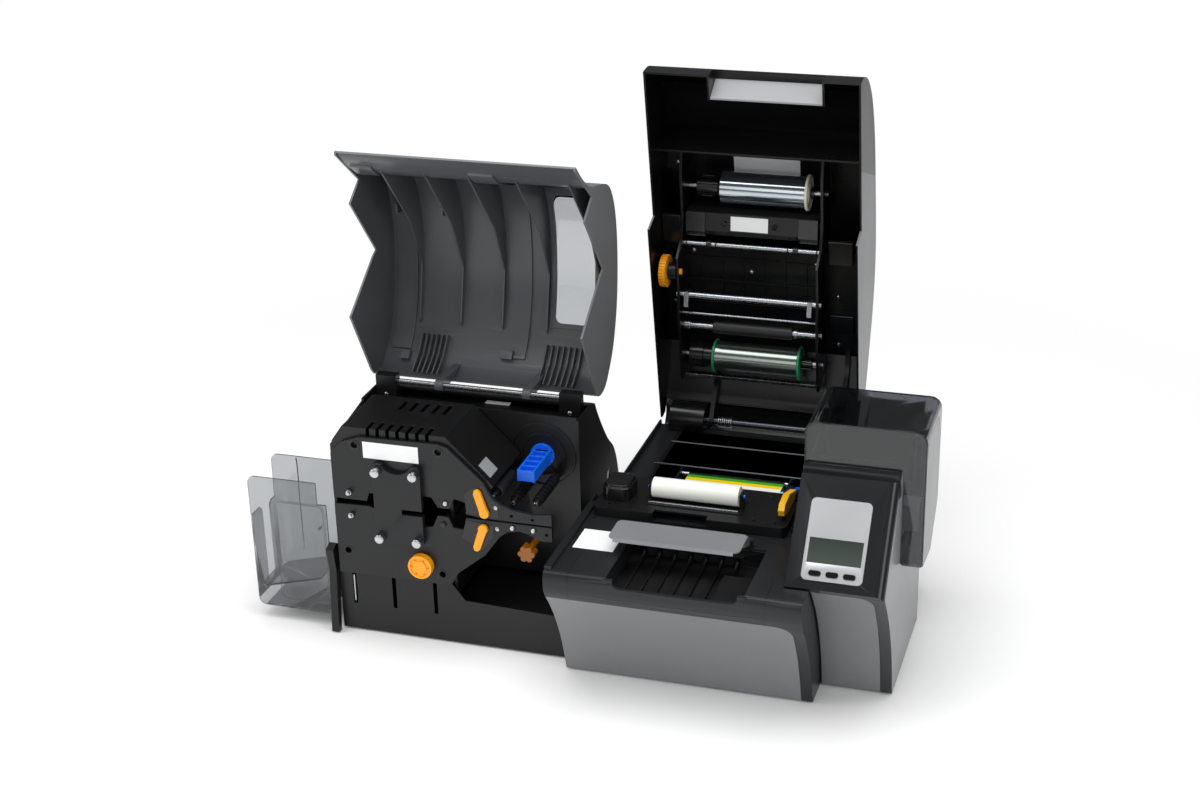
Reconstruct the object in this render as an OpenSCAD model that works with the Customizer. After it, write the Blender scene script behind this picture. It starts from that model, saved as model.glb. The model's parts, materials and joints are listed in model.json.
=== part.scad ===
// Identity card printer with an in-line laminator, both covers raised.
// X runs along the machine from the output hopper to the card feeder, Y runs to
// the back and Z up. The modules are drawn from the lower front left corner of
// the printer, and seated() then moves them so that the origin lies under the
// middle of the whole machine.

/* [Machine] */
// Thickness of the moulded walls
wall = 3; // [2.5:0.1:4]
// Running clearance around shafts and pins
run_gap = 0.05; // [0.03:0.01:0.1]
// Gap between panels that meet edge to edge
seam = 0.5; // [0.3:0.1:1]
// Height of the rubber feet
foot_h = 3; // [2:0.5:6]

/* [Printer body] */
// Left face of the printer
body_x = 9; // [8:1:12]
// Width of the printer below its lid
body_w = 322; // [300:2:340]
// Depth of the printer from the lower front edge to the rear wall
body_depth = 502; // [480:2:560]
// Width of the front panel and the bezel, which run past the tower
front_w = 355; // [345:1:365]
// How far the bezel hangs over the lower front edge
bezel_reach = 78; // [70:1:84]
// Height at which the front panel ends and the bezel starts
panel_h = 158; // [140:1:175]
// Height of the front part of the body
deck_h = 200; // [190:1:215]
// Height of the rim behind the step
rear_rim_h = 172; // [150:1:180]
// Where the rim steps down, from the lower front edge
rim_step_y = 165; // [150:1:180]
// Height of the transport plate above the front deck
plate_rise = 15; // [10:1:20]
// Depth of the card exit recess
exit_depth = 28; // [20:1:35]
// Width of the card exit recess
exit_w = 190; // [160:2:200]

/* [Printer lid] */
// Angle at which the raised lid stands
lid_angle = 80; // [70:1:88]
// Height of the closed lid above the floor
lid_top = 322; // [315:1:335]
// Height of the lid hinge
hinge_z = 178; // [176:1:182]
// Radius of the hinge shaft
hinge_shaft_r = 6; // [4:0.5:7]
// Radius of the counterbalance drum on the hinge
drum_r = 27; // [22:1:28]
// Radius of the wound transfer film
film_r = 25; // [18:1:26]
// Radius of the transfer film on its take-up core
takeup_r = 24; // [16:1:25]
// Radius of the orange thumbwheel
thumbwheel_r = 25; // [18:1:26]

/* [Tower] */
// Width of the tower that holds the controls and the card feeder
tower_w = 132.5; // [125:0.5:140]
// Height of the tower body
tower_h = 300; // [290:1:310]
// Height of the feeder cover above the deck it stands on
cover_h = 61; // [50:1:70]
// Width of the display surround
display_w = 82; // [70:1:90]
// Length of the display surround up the slope
display_l = 112; // [100:1:116]
// Length of a menu button
button_l = 16; // [12:1:18]
// Travel of a menu button
button_travel = 1.2; // [0.8:0.1:1.5]

/* [Laminator] */
// Left end of the laminator chassis
lam_x = -345; // [-350:1:-340]
// Height of the laminator base
lam_base_h = 97; // [90:1:105]
// Depth of the laminator chassis
lam_depth = 340; // [320:2:360]
// Front face of the two machined side plates
plate_y = 26; // [22:1:30]
// Thickness of the side plates
plate_t = 5; // [4:0.5:6]
// Height of the split between the side plates
split_z = 212; // [209:1:215]
// Radius of the orange drive knob
knob_r = 18; // [15:0.5:18.5]
// Radius of the heater rollers
heat_roller_r = 14; // [10:0.5:16]
// Length of the blue spindle
spindle_l = 76; // [60:1:85]
// Angle at which the raised laminator lid stands
lam_lid_angle = 120; // [110:1:125]
// Width of the laminator lid
lam_lid_w = 355; // [350:1:358]

/* [Output hopper] */
// Thickness of the clear sheet
sheet = 2.5; // [2:0.25:3]
// Width of the hopper
hopper_w = 122.5; // [112:0.5:130]
// Height of the hopper walls
hopper_h = 212; // [195:1:225]
// Height of the hopper floor above the table
hopper_z = 22; // [15:1:30]

/* [Hidden] */
$fn = 48;

// Printer body
body_x1 = body_x + body_w;
front_x1 = body_x + front_w;
trim_w = 15.5;
rim_up = 5;
hinge_y = body_depth + 2;
pan_h = 30;
well_x0 = body_x + 41;
well_x1 = body_x1 - 31;
well_y0 = 208;
well_y1 = body_depth - 20;
well_floor = 70;
rear_deck_h = rear_rim_h - 7;
plate_h = deck_h + plate_rise;
plate_y0 = 98;
plate_y1 = 205;
plate_x0 = body_x + 15;
plate_x1 = body_x1 - 28;
exit_x0 = body_x + 0.66 * (body_w - exit_w);
exit_x1 = exit_x0 + exit_w;
exit_y1 = 58;
lip_h = 13;
panel_round = 22;
panel_x1 = front_x1 - trim_w - seam;
flap_at = [exit_y1 + 5, deck_h + 6];
flap_pin_r = 2;
flap_x0 = exit_x0 - 18;
flap_x1 = exit_x1 - 24;
lever_at = [190, plate_h + 8];
lever_pin_r = 2.5;
lever_x = plate_x1 - 15;
lever_w = 9;

// Cleaning roller and ribbon carriage
clean_x0 = plate_x0 + 72;
clean_x1 = plate_x1 - 70;
clean_at = [145, plate_h + 18];
clean_r = 14.5;
pin_r = 3;
carriage_x0 = well_x0 + 56;
carriage_x1 = well_x1 - 32;
supply_at = [240, 160];
takeup_ribbon_at = [300, 158];
ribbon_r = 15;
ribbon_z = 192;
guide_r = 3;
guide_ends = [[216, ribbon_z], [280, ribbon_z]];

// Printer lid
lid_x0 = body_x + 1;
lid_x1 = body_x1 - 1;
lid_front_y = -bezel_reach + 1;
lid_rim_front = deck_h + 8;
lid_rim_rear = rear_rim_h + 4;
frame_x0 = body_x + 35;
frame_x1 = body_x1 - 70;
frame_t = 4;
spindle_r = 5;
arm_x = [body_x + 82, body_x1 - 35];
arm_t = 7;
film_at = [137, 275];
takeup_at = [405, 216];
roller_at = [347, 208];
cam_at = [292, 207];
thumb_at = [252, 206];
notch_x = [body_x + 99, body_x1 - 57];
spool_x = frame_x0 + frame_t + 56;
film_w = frame_x1 - spool_x - 26;
block_y = film_at[0] + film_r + 4;

// Tower
tower_x0 = body_x1 + seam;
tower_x1 = tower_x0 + tower_w;
lean_a = [-37, 202];
lean_b = [62, 321];
lean = atan2(lean_b[1] - lean_a[1], lean_b[0] - lean_a[0]);
bezel_t = 8;
plate_in = [19, 12];
button_up = 10;
button_pitch = 23;
window_up = 24;
window_l = 34;
top_h = tower_h + 28;
tower_front_top = 196;
face_x1 = tower_x1 - trim_w - seam;
face_round = 18;
edge_r = 14;
feeder_y0 = 80;
feeder_y1 = 203;
feeder_x1 = tower_x1 + 31;
feeder_low = 190;
feed_at = [205, tower_h + 31];
cover_x0 = tower_x0 - 0.5;
cover_low = top_h + 0.5;
cover_r = 16;
side_top = 373;
side_y0 = feeder_y0 + wall + 0.3;
side_slant = feed_at[0] - 32;
tray_y = [92, 194];
tray_floor = plate_h - 2;
card_y = [118, 172];

// Laminator
lam_x1 = -10;
lam_wall_y = 150;
lam_hinge = [200, 331];
lam_rod_r = 4;
lam_lid_x1 = -5;
lam_lid_x0 = lam_lid_x1 - lam_lid_w;
split_gap = 3;
cover_x = [-275, -202];
cover_z = [161, 283];
cover_t = 9;
knob_at = [-210, 128];
heat_at = [-174, 196];
shaft_r = 4;
shaft_holes = [[-315, 231], [-314, 195], [-169, 230], [-70, 204], [-39, 204]];
plate_holes = [[-303, 305, 5], [-176, 308, 5], [-325, 135, 5], [-180, 115, 5], [-71, 222, 2.5],
    [-40, 220, 2.5],
    [-20, 199, 2.5]];
lever_up = [-110, 223];
lever_low = [-113, 198];
lever_r = 3;
hub_at = [-65, 262];
ring_r = [50, 34];
amber_at = [-75, 129];
idler_at = [[-78, 229], [-44, 231], [-106, 238]];
gusset_x = [-311, -245, -179, -109, -31];

// Hopper
arm_w = 12;
hopper_x1 = lam_x - arm_w - 0.5;
hopper_x0 = hopper_x1 - hopper_w;
hopper_y0 = 30;
hopper_y1 = 110.5;

// Middle of the machine, between the hopper and the feeder, and between the bezel
// and the skin of the raised lid
mid_x = (hopper_x0 + feeder_x1) / 2;
skin_flat_y = hinge_y - 254;
skin_back = hinge_y + (skin_flat_y - hinge_y) * cos(lid_angle) + (lid_top - hinge_z) * sin(lid_angle);
mid_y = (skin_back - bezel_reach) / 2;

// ---- helpers ----

module seated() translate([-mid_x, -mid_y, 0]) children();

module box(lo, hi) translate(lo) cube(hi - lo);

// A profile in Y and Z, drawn along X
module along_x(x0, x1) translate([x0, 0, 0]) rotate([90, 0, 90]) linear_extrude(x1 - x0) children();

// A profile in X and Z, drawn along Y
module along_y(y0, y1) translate([0, y1, 0]) rotate([90, 0, 0]) linear_extrude(y1 - y0) children();

module rod_x(x0, x1, at, r) translate([x0, at[0], at[1]]) rotate([0, 90, 0]) cylinder(h = x1 - x0, r = r);

module rod_y(y0, y1, at, r) translate([at[0], y1, at[1]]) rotate([90, 0, 0]) cylinder(h = y1 - y0, r = r);

module rod_z(z0, z1, at, r) translate([at[0], at[1], z0]) cylinder(h = z1 - z0, r = r);

module round_rect(lo, hi, r) {
    translate([lo[0] + r, lo[1]]) square([hi[0] - lo[0] - 2 * r, hi[1] - lo[1]]);
    translate([lo[0], lo[1] + r]) square([hi[0] - lo[0], hi[1] - lo[1] - 2 * r]);
    for (x = [lo[0] + r, hi[0] - r], y = [lo[1] + r, hi[1] - r]) translate([x, y]) circle(r);
}

// Points of a shallow arc from a to b that bulges to its left by sag
function bow(a, b, sag, n = 10) = let (d = b - a, side = [-d[1], d[0]] / norm(d))
    [for (i = [0:n]) let (t = i / n) a + d * t + side * (4 * sag * t * (1 - t))];

// Points of a circular arc about c
function arc(c, r, a0, a1, n = 10) = [for (i = [0:n]) let (a = a0 + (a1 - a0) * i / n)
    c + r * [cos(a), sin(a)]];

// A smooth curve through every point, n steps to a stretch
function smooth(p, n = 4) = let (last = len(p) - 1) concat([for (i = [0:last - 1], k = [0:n - 1])
    let (t = k / n, a = p[max(i - 1, 0)], b = p[i], c = p[i + 1], d = p[min(i + 2, last)])
    0.5 * (2 * b + (c - a) * t + (2 * a - 5 * b + 4 * c - d) * t * t + (3 * b - a - 3 * c + d) * t * t * t)], [p[last]]);

// The same line moved to its left by d
function inset(p, d) = [for (i = [0:len(p) - 1]) let (t = p[min(i + 1, len(p) - 1)] - p[max(i - 1, 0)])
    p[i] + d / norm(t) * [-t[1], t[0]]];

function shift(pts, d) = [for (p = pts) p + d];

function backwards(pts) = [for (i = [len(pts) - 1:-1:0]) pts[i]];

// The band between a line of points and the same line moved by d
function band(pts, d) = concat(pts, backwards(shift(pts, d)));

// Turns what is drawn with the printer lid closed to its raised place
module lid_raised() translate([0, hinge_y, hinge_z]) rotate([-lid_angle, 0, 0])
    translate([0, -hinge_y, -hinge_z]) children();

module lam_lid_raised() translate([0, lam_hinge[0], lam_hinge[1]]) rotate([-lam_lid_angle, 0, 0])
    translate([0, -lam_hinge[0], -lam_hinge[1]]) children();

// ---- printer body ----

front_curve = bow([6, foot_h], [-bezel_reach + 8, panel_h], -10);
inner_curve = shift(front_curve, [wall + 0.3, 0]);

// Outside and inside of the bezel above the front panel
bezel_out = [[-bezel_reach + 8, panel_h + seam], [-bezel_reach + 1, panel_h + 12],
    [-bezel_reach, panel_h + 20],
    [-bezel_reach, deck_h - 8], [-bezel_reach + 3, deck_h - 2], [-bezel_reach + 8, deck_h]];
bezel_in = [[-bezel_reach + 11, panel_h + seam], [-bezel_reach + 4, panel_h + 13],
    [-bezel_reach + 3, panel_h + 20],
    [-bezel_reach + 3, deck_h - 9], [-bezel_reach + 9, deck_h - wall]];

// Front view of the panel with its rounded upper corner, grown by g
module panel_face(g) polygon(concat([[body_x - 5, 0], [panel_x1 + g, 0]],
    arc([panel_x1 - panel_round, panel_h - panel_round], panel_round + g, 0, 90,
        8), [[body_x - 5, panel_h + g]]));

module front_panel() color("#808486") seated() intersection() {
    along_x(body_x, panel_x1) polygon(band(front_curve, [wall, 0]));
    along_y(-200, 60) panel_face(0);
}

// Side wall of the body, with its rim from rim_front down to the step
module side_profile(front_h, rim_front, rim_rear) polygon(concat(inner_curve, shift(bezel_in, [0.3, -0.3]),
    [[plate_y0 + 36.5, front_h], [plate_y0 + 36.5, rim_front], [rim_step_y - 9, rim_front],
        [rim_step_y - 2, rim_rear],
    [body_depth, rim_rear], [body_depth, foot_h]]));

module centre_housing() color("#3b3d40") seated() {
    along_x(body_x, body_x + wall) side_profile(deck_h - wall - 0.3, deck_h + rim_up, rear_rim_h);
    along_x(body_x1 - wall, body_x1) side_profile(deck_h - wall - 0.3, deck_h - wall, rear_deck_h);
    box([body_x, body_depth - wall, foot_h], [body_x1, body_depth, rear_deck_h]);
    // deck around the well
    difference() {
        box([body_x + wall, plate_y0 + 21, rear_deck_h - wall],
            [body_x1 - wall, body_depth - wall, rear_deck_h]);
        box([well_x0, well_y0, 0], [well_x1, well_y1, rear_deck_h + 1]);
    }
    // hollow beam that carries the transport plate
    difference() {
        box([plate_x0 - 2, plate_y0 + 21, rear_deck_h - 1], [plate_x1 + 2, plate_y1 + 1, deck_h]);
        box([plate_x0 + 1, plate_y0 + 24, rear_deck_h], [plate_x1 - 1, plate_y1 - 2, deck_h - wall]);
        box([120, plate_y1 - 3, rear_deck_h + 4], [250, plate_y1 + 2, deck_h - 12]);
    }
}

module base_pan() color("#232426") seated() difference() {
    box([body_x + wall + 0.2, 16, foot_h], [body_x1 - wall - 0.2, body_depth - wall - 0.2, pan_h]);
    box([body_x + 2 * wall, 16 + wall, foot_h + wall], [body_x1 - 2 * wall, body_depth - 2 * wall,
        pan_h + 1]);
}

foot_spots = concat([for (x = [body_x + 22, body_x1 - 22], y = [54, body_depth - 30]) [x, y]],
    [for (y = [90, 250]) [tower_x1 - 22, y]], [for (x = [lam_x + 20, lam_x1 - 20],
        y = [plate_y + 30, lam_depth - 24]) [x, y]]);
module feet() color("#101011") seated() for (p = foot_spots) rod_z(0, foot_h, p, 9);

// Front view of the card opening, narrower than the recess behind it
module exit_mouth() round_rect([exit_x0 + 10, deck_h - lip_h], [exit_x1 - 9, deck_h + 30], 10);

module front_bezel() color("#3b3d40") seated() {
    front = -bezel_reach;
    floor_z = deck_h - exit_depth;
    difference() {
        union() {
            along_x(body_x, body_x1) polygon(concat(bezel_out,
                [[plate_y0 + 20, deck_h], [plate_y0 + 20, deck_h - wall]], backwards(bezel_in)));
            // raised rim on the left
            box([body_x, front + 9, deck_h - 1], [body_x + 10, plate_y0 + 36, deck_h + rim_up]);
            // lip, walls and floor edge of the exit recess
            box([exit_x0, front + 1, floor_z - wall], [exit_x1, front + 8, floor_z]);
            box([exit_x0 - 1, front + 1, floor_z - 1], [exit_x1 + 1, front + 6, deck_h - 1]);
            box([exit_x0 - wall, front + 2, floor_z - wall], [exit_x0, exit_y1, deck_h - 1]);
            box([exit_x1, front + 2, floor_z - wall], [exit_x1 + wall, exit_y1, deck_h - 1]);
            box([exit_x0 - wall, exit_y1, floor_z - wall], [exit_x1 + wall, exit_y1 + wall, deck_h - 1]);
        }
        box([exit_x0, front + 6, floor_z], [exit_x1, exit_y1, deck_h + 30]);
        along_y(front - 20, front + 12) exit_mouth();
    }
    // the front runs on past the tower
    along_x(body_x1 - 1, front_x1 - 1) polygon(concat(bezel_out,
        [[lean_a[0] - 2, deck_h], [lean_a[0] - 2, deck_h - wall]], backwards(bezel_in)));
    // trim along the right end, and the end wall behind it
    difference() {
        along_x(panel_x1 - panel_round - 2, front_x1 - 1) polygon(concat(front_curve,
            [bezel_out[0] + [0, 1], bezel_in[0] + [-1, 1]], backwards(shift(front_curve, [wall, 0]))));
        along_y(-200, 60) panel_face(seam);
    }
    along_x(front_x1 - wall, front_x1) polygon(concat(front_curve, bezel_out,
        [[lean_a[0] - 2, deck_h], [lean_a[0] - 2, 190]], backwards(shift(tower_front, [-0.6, 0]))));
    // ears of the exit flap
    for (x = [flap_x0 - 4, flap_x1]) difference() {
        box([x, exit_y1 + 0.5, deck_h - 0.5], [x + 4, exit_y1 + 9.5, flap_at[1] + 5]);
        rod_x(x - 1, x + 5, flap_at, flap_pin_r + run_gap);
    }
}

tray_h = deck_h - exit_depth;
module exit_tray() color("#0d0d0e") seated() {
    front = -bezel_reach;
    x0 = exit_x0 + 0.2;
    x1 = exit_x1 - 0.2;
    box([x0, front + 8.2, tray_h - wall], [x1, exit_y1 - 0.2, tray_h]);
    // ribs that the cards slide on
    for (i = [0:6]) along_x(exit_x0 + 18 + i * 22, exit_x0 + 21 + i * 22) polygon([[front + 14, tray_h - 1],
        [exit_y1 - 1, tray_h - 1], [exit_y1 - 1, tray_h + 12], [exit_y1 - 30, tray_h + 5], [front + 18,
            tray_h + 4]]);
    // raised pad at the right, and the wall under the flap with its cross bar
    box([exit_x1 - 48, front + 10, tray_h - 1], [x1, exit_y1 - 48, tray_h + 9]);
    box([x0, exit_y1 - 2.2, tray_h - 1], [x1, exit_y1 - 0.2, deck_h - 2]);
    box([exit_x0 + 14, exit_y1 - 8, tray_h + 14], [exit_x1 - 30, exit_y1 - 2, tray_h + 17]);
}

module exit_flap() color("#c9cbcc") seated() {
    x0 = flap_x0 + run_gap;
    x1 = flap_x1 - run_gap;
    translate([0, 0, deck_h + 22.5]) linear_extrude(2) round_rect([x0, -4], [x1, 50], 8);
    // front edge bent down
    along_x(x0 + 8, x1 - 8) polygon([[-4, deck_h + 24.5], [-2, deck_h + 22], [-5, deck_h + 19],
        [-7, deck_h + 20]]);
    for (x = [x0, x1 - 4]) along_x(x, x + 4) {
        translate(flap_at) circle(5);
        polygon([[24, deck_h + 23], [49, deck_h + 23], flap_at + [4, 3], flap_at + [-3, -4],
            [46, deck_h + 11], [24, deck_h + 18]]);
    }
    rod_x(flap_x0 - 4, flap_x0 + 2, flap_at, flap_pin_r);
    rod_x(flap_x1 - 2, flap_x1 + 4, flap_at, flap_pin_r);
}

module deck_plate() color("#1b1c1d") seated() {
    difference() {
        translate([0, 0, deck_h]) linear_extrude(plate_rise) union() {
            round_rect([plate_x0, plate_y0], [plate_x1, plate_y1], 10);
            translate([plate_x0, plate_y1 - 20]) square([plate_x1 - plate_x0, 20]);
        }
        translate([0, 0, deck_h - 1]) linear_extrude(plate_rise - wall + 1)
            round_rect([plate_x0 + wall, plate_y0 + wall], [plate_x1 - wall, plate_y1 - wall], 8);
        box([112, plate_y0 - 1, deck_h + 3], [190, plate_y0 + 12, plate_h + 1]);
        for (x = [plate_x0 + 21, plate_x1 - 48, plate_x1 - 18])
            rod_z(plate_h - 5, plate_h + 1, [x, 112], 2);
    }
    // bracket and pin of the release lever
    box([lever_x + 10, lever_at[0] - 6, plate_h - 1], [lever_x + 13, lever_at[0] + 6, lever_at[1] + 5]);
    rod_x(lever_x - 1, lever_x + 11, lever_at, lever_pin_r);
}

module latch_block() color("#121314") seated() {
    at = [51, 148];
    translate([0, 0, plate_h]) linear_extrude(19) round_rect(at - [21, 25], at + [21, 25], 12);
    translate([0, 0, plate_h + 18]) linear_extrude(5) round_rect(at - [18, 22], at + [18, 22], 10);
}

module cleaning_carrier() color("#3c3e40") seated() {
    box([clean_x0, clean_at[0] - 22, plate_h], [clean_x1, clean_at[0] + 22, plate_h + 1.5]);
    for (x = [clean_x0, clean_x1 - 5]) difference() {
        box([x, clean_at[0] - 7, plate_h + 1], [x + 5, clean_at[0] + 7, clean_at[1] + 5]);
        rod_x(x - 1, x + 6, clean_at, pin_r + run_gap);
        box([x - 1, clean_at[0] - pin_r - run_gap, clean_at[1]],
            [x + 6, clean_at[0] + pin_r + run_gap, clean_at[1] + 9]);
    }
}

module cleaning_roller() color("#eeeeea") seated() {
    rod_x(clean_x0 + 5.5, clean_x1 - 5.5, clean_at, clean_r);
    rod_x(clean_x0 - 2, clean_x1 + 2, clean_at, pin_r);
}

module well_frame() color("#111213") seated() {
    difference() {
        box([well_x0 + 0.5, well_y0 + 0.5, well_floor - wall],
            [well_x1 - 0.5, well_y1 - 0.5, rear_deck_h + 1.5]);
        box([well_x0 + wall, well_y0 + wall, well_floor], [well_x1 - wall, well_y1 - wall,
            rear_deck_h + 2]);
    }
    // rim that rests on the deck
    difference() {
        box([well_x0 - 4, well_y0 - 1.5, rear_deck_h], [well_x1 + 4, well_y1 + 4, rear_deck_h + 1.5]);
        box([well_x0 + 1, well_y0 + 1, rear_deck_h - 1], [well_x1 - 1, well_y1 - 1, rear_deck_h + 2]);
    }
    // side plates of the ribbon carriage
    difference() {
        for (x = [carriage_x0 - 3, carriage_x1]) along_x(x, x + 3)
            polygon([[well_y0 + 2, well_floor - 1], [360, well_floor - 1], [360, 150],
            [325, 178], [290, ribbon_z + 6], [well_y0 + 2, ribbon_z + 6]]);
        for (p = [supply_at, takeup_ribbon_at]) rod_x(carriage_x0 - 4, carriage_x1 + 4, p, pin_r + run_gap);
        for (p = guide_ends) rod_x(carriage_x0 - 4, carriage_x1 + 4, p, guide_r);
    }
    // cross bars behind the carriage
    for (p = [[390, 128], [440, 142]]) box([well_x0 + 1, p[0], p[1]], [well_x1 - 1, p[0] + 8, p[1] + 6]);
    // ear at the right end of the hinge
    difference() {
        along_x(well_x1 + 4.5, well_x1 + 18) polygon([[well_y1 + 1, rear_deck_h],
            [body_depth - wall - 0.5, rear_deck_h], [hinge_y + 8, hinge_z - 8],
            [hinge_y + 10, hinge_z + 10], [hinge_y - 11, hinge_z + 10]]);
        rod_x(well_x1 + 4, well_x1 + 19, [hinge_y, hinge_z], hinge_shaft_r);
    }
    box([well_x1 - 1, well_y1 + 1, rear_deck_h], [well_x1 + 5, well_y1 + 4, rear_deck_h + 1.5]);
}

module metal_fittings() color("#b9bdc0") seated() {
    for (p = guide_ends) rod_x(carriage_x0 - 3, carriage_x1 + 3, p, guide_r);
    // latch strip beside the block
    along_x(17, 19) polygon([[172, rear_deck_h], [186, rear_deck_h], [206, 224], [196, 224]]);
    // counterbalance spring on the hinge shaft, one ring to a turn
    for (i = [0:6]) translate([106 + i * 3.4, hinge_y, hinge_z]) rotate([0, 90, 0])
        rotate_extrude() translate([hinge_shaft_r + 1.6, 0]) circle(1.3, $fn = 16);
}

module ribbon_film() color("#6a7d1c") seated()
    box([carriage_x0 + 12, guide_ends[0][0], ribbon_z + guide_r + 0.1],
        [carriage_x1 - 6, guide_ends[1][0], ribbon_z + guide_r + 0.6]);

module ribbon_supply() color("#2c5d2a") seated() {
    rod_x(carriage_x0 + 1, carriage_x1 - 1, supply_at, ribbon_r);
    rod_x(carriage_x0 - 5, carriage_x1 + 5, supply_at, pin_r);
}

module ribbon_takeup() color("#0a6fe8") seated() {
    rod_x(carriage_x0 + 1, carriage_x1 - 1, takeup_ribbon_at, ribbon_r);
    rod_x(carriage_x0 - 5, carriage_x1 + 5, takeup_ribbon_at, pin_r);
    rod_x(carriage_x1 + 3.5, carriage_x1 + 12, takeup_ribbon_at, 20);
}

module release_lever() color("#f5b800") seated() difference() {
    along_x(lever_x, lever_x + lever_w) {
        translate(lever_at) circle(7);
        polygon([lever_at + [0, -5], lever_at + [0, 7], [150, plate_h + 28], [122, plate_h + 26],
            [115, plate_h + 18], [118, plate_h + 9], [140, plate_h + 3]]);
    }
    rod_x(lever_x - 1, lever_x + lever_w + 1, lever_at, lever_pin_r + run_gap);
}

module hinge_shaft() color("#9a9c9e") seated() rod_x(body_x + 20, body_x1 - 9, [hinge_y, hinge_z],
    hinge_shaft_r);

module hinge_drum() color("#0d0d0e") seated() difference() {
    union() {
        rod_x(30, 86, [hinge_y, hinge_z], drum_r);
        box([32, well_y1 + 5, rear_deck_h], [84, body_depth - wall - 0.5, hinge_z]);
    }
    rod_x(29, 87, [hinge_y, hinge_z], hinge_shaft_r);
    box([20, hinge_y - 60, rear_deck_h - 60], [100, hinge_y + 60, rear_deck_h]);
    box([20, hinge_y - 60, rear_deck_h - 1], [100, well_y1 + 4.3, rear_deck_h + 1.8]);
}

// ---- tower ----

tower_front = concat(bow([56, foot_h], [-28, 188], -15), [[-34, tower_front_top]]);

// A point up the slope by v and out of it by w
function slope_at(v, w) = lean_a + v * [cos(lean), sin(lean)] + w * [-sin(lean), cos(lean)];

module on_slope() translate([tower_x0, lean_a[0], lean_a[1]]) rotate([lean, 0, 0]) children();

// Where a line under the slope by t reaches height z
function roof_y(z, t) = slope_at((z - lean_a[1] + t * cos(lean)) / sin(lean), -t)[0];

module tower_outline() polygon(concat(shift(tower_front, [wall + 0.3, 0]), [slope_at(3, -bezel_t - 0.3)],
    [[roof_y(tower_h, bezel_t + 0.3), tower_h], [lean_b[0] + 8.3, tower_h], [lean_b[0] + 8.3, top_h],
    [feeder_y1 + 2, top_h], [feeder_y1 + 2, tower_h], [373, tower_h], [373, 95], [271, 87], [271,
        foot_h]]));

// The tower with its outer front edge rounded, drawn along the slope
module tower_round() on_slope() along_y(-140, 420) polygon(concat([[-1, -500], [-1, 0.1]],
    arc([tower_w - edge_r, 0.1 - edge_r], edge_r, 90, 0, 8), [[tower_w, -500]]));

module tower_housing() color("#3b3d40") seated() intersection() {
    difference() {
        along_x(tower_x0, tower_x1) tower_outline();
        along_x(tower_x0 + wall, tower_x1 - wall) offset(delta = -wall) tower_outline();
        box([tower_x0 + wall - 0.1, tray_y[0] - 0.3, tower_h - 10],
            [tower_x1 - wall + 0.1, tray_y[1] + 0.3, top_h + 1]);
        // window beside the cards, and the slot they leave through
        box([tower_x1 - wall - 1, tray_y[0] + 2, tray_floor + 3],
            [tower_x1 + 1, tray_y[1] - 24, top_h + 1]);
        box([tower_x0 - 1, card_y[0], tray_floor + 3], [tower_x0 + wall + 1, card_y[1], tray_floor + 7]);
    }
    tower_round();
}

// Front view of the tower panel with its rounded upper corner, grown by g
module tower_face(g) polygon(concat([[front_x1 - 5, 0], [face_x1 + g, 0]],
    arc([face_x1 - face_round, tower_front_top - face_round], face_round + g, 0, 90,
        8), [[front_x1 - 5, tower_front_top + g]]));

module tower_front_panel() color("#737678") seated() intersection() {
    along_x(front_x1 + 2, face_x1) polygon(band(tower_front, [wall, 0]));
    along_y(-100, 80) tower_face(0);
}

module control_bezel() color("#2c2d2f") seated() intersection() {
    difference() {
        union() {
            along_x(tower_x0, tower_x1) polygon([[-34, tower_front_top + 0.5], lean_a, lean_b,
                [lean_b[0] + 8, lean_b[1] - 1], [lean_b[0] + 8, tower_h + 0.2],
                [roof_y(tower_h + 0.2, bezel_t), tower_h + 0.2], slope_at(3, -bezel_t), [-30.8,
                    tower_front_top + 1]]);
            difference() {
                along_x(face_x1 - face_round - 2, tower_x1) polygon(concat(tower_front,
                    [[-34, tower_front_top + 3], [-31, tower_front_top + 3]],
                        backwards(shift(tower_front, [wall, 0]))));
                along_y(-100, 80) tower_face(seam);
            }
        }
        on_slope() translate([0, 0, -2]) linear_extrude(20)
            round_rect(plate_in, plate_in + [display_w, display_l], 7);
        on_slope() for (i = [-1:1]) translate([button_x(i), plate_in[1] + button_up, -12])
            cylinder(h = 20, r = 3);
    }
    tower_round();
}

function button_x(i) = plate_in[0] + display_w / 2 + i * button_pitch;

module display_plate() color("#c9cbcc") seated() on_slope() difference() {
    translate([0, 0, -2]) linear_extrude(3.2) round_rect(plate_in + [0.2, 0.2],
        plate_in + [display_w - 0.2, display_l - 0.2], 7);
    translate([plate_in[0] + 5, plate_in[1] + window_up, 0]) cube([display_w - 10, window_l, 3]);
    for (i = [-1:1]) translate([button_x(i), plate_in[1] + button_up, -3]) linear_extrude(6)
        round_rect([-button_l / 2 - 0.3, -3.8], [button_l / 2 + 0.3, 3.8], 3.5);
}

module display_window() color("#2e3331") seated() on_slope()
    translate([plate_in[0] + 5.1, plate_in[1] + window_up + 0.1, 0])
        cube([display_w - 10.2, window_l - 0.2, 1]);

module button(i) color("#1a1a1b") seated() on_slope() translate([button_x(i), plate_in[1] + button_up, 0]) {
    translate([0, 0, -0.2]) linear_extrude(1.8 + button_travel)
        round_rect([-button_l / 2, -3.5], [button_l / 2, 3.5], 3.3);
    translate([0, 0, -6]) cylinder(h = 6, r = 3 - run_gap);
}

module button_left() button(-1);
module button_middle() button(0);
module button_right() button(1);

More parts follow.
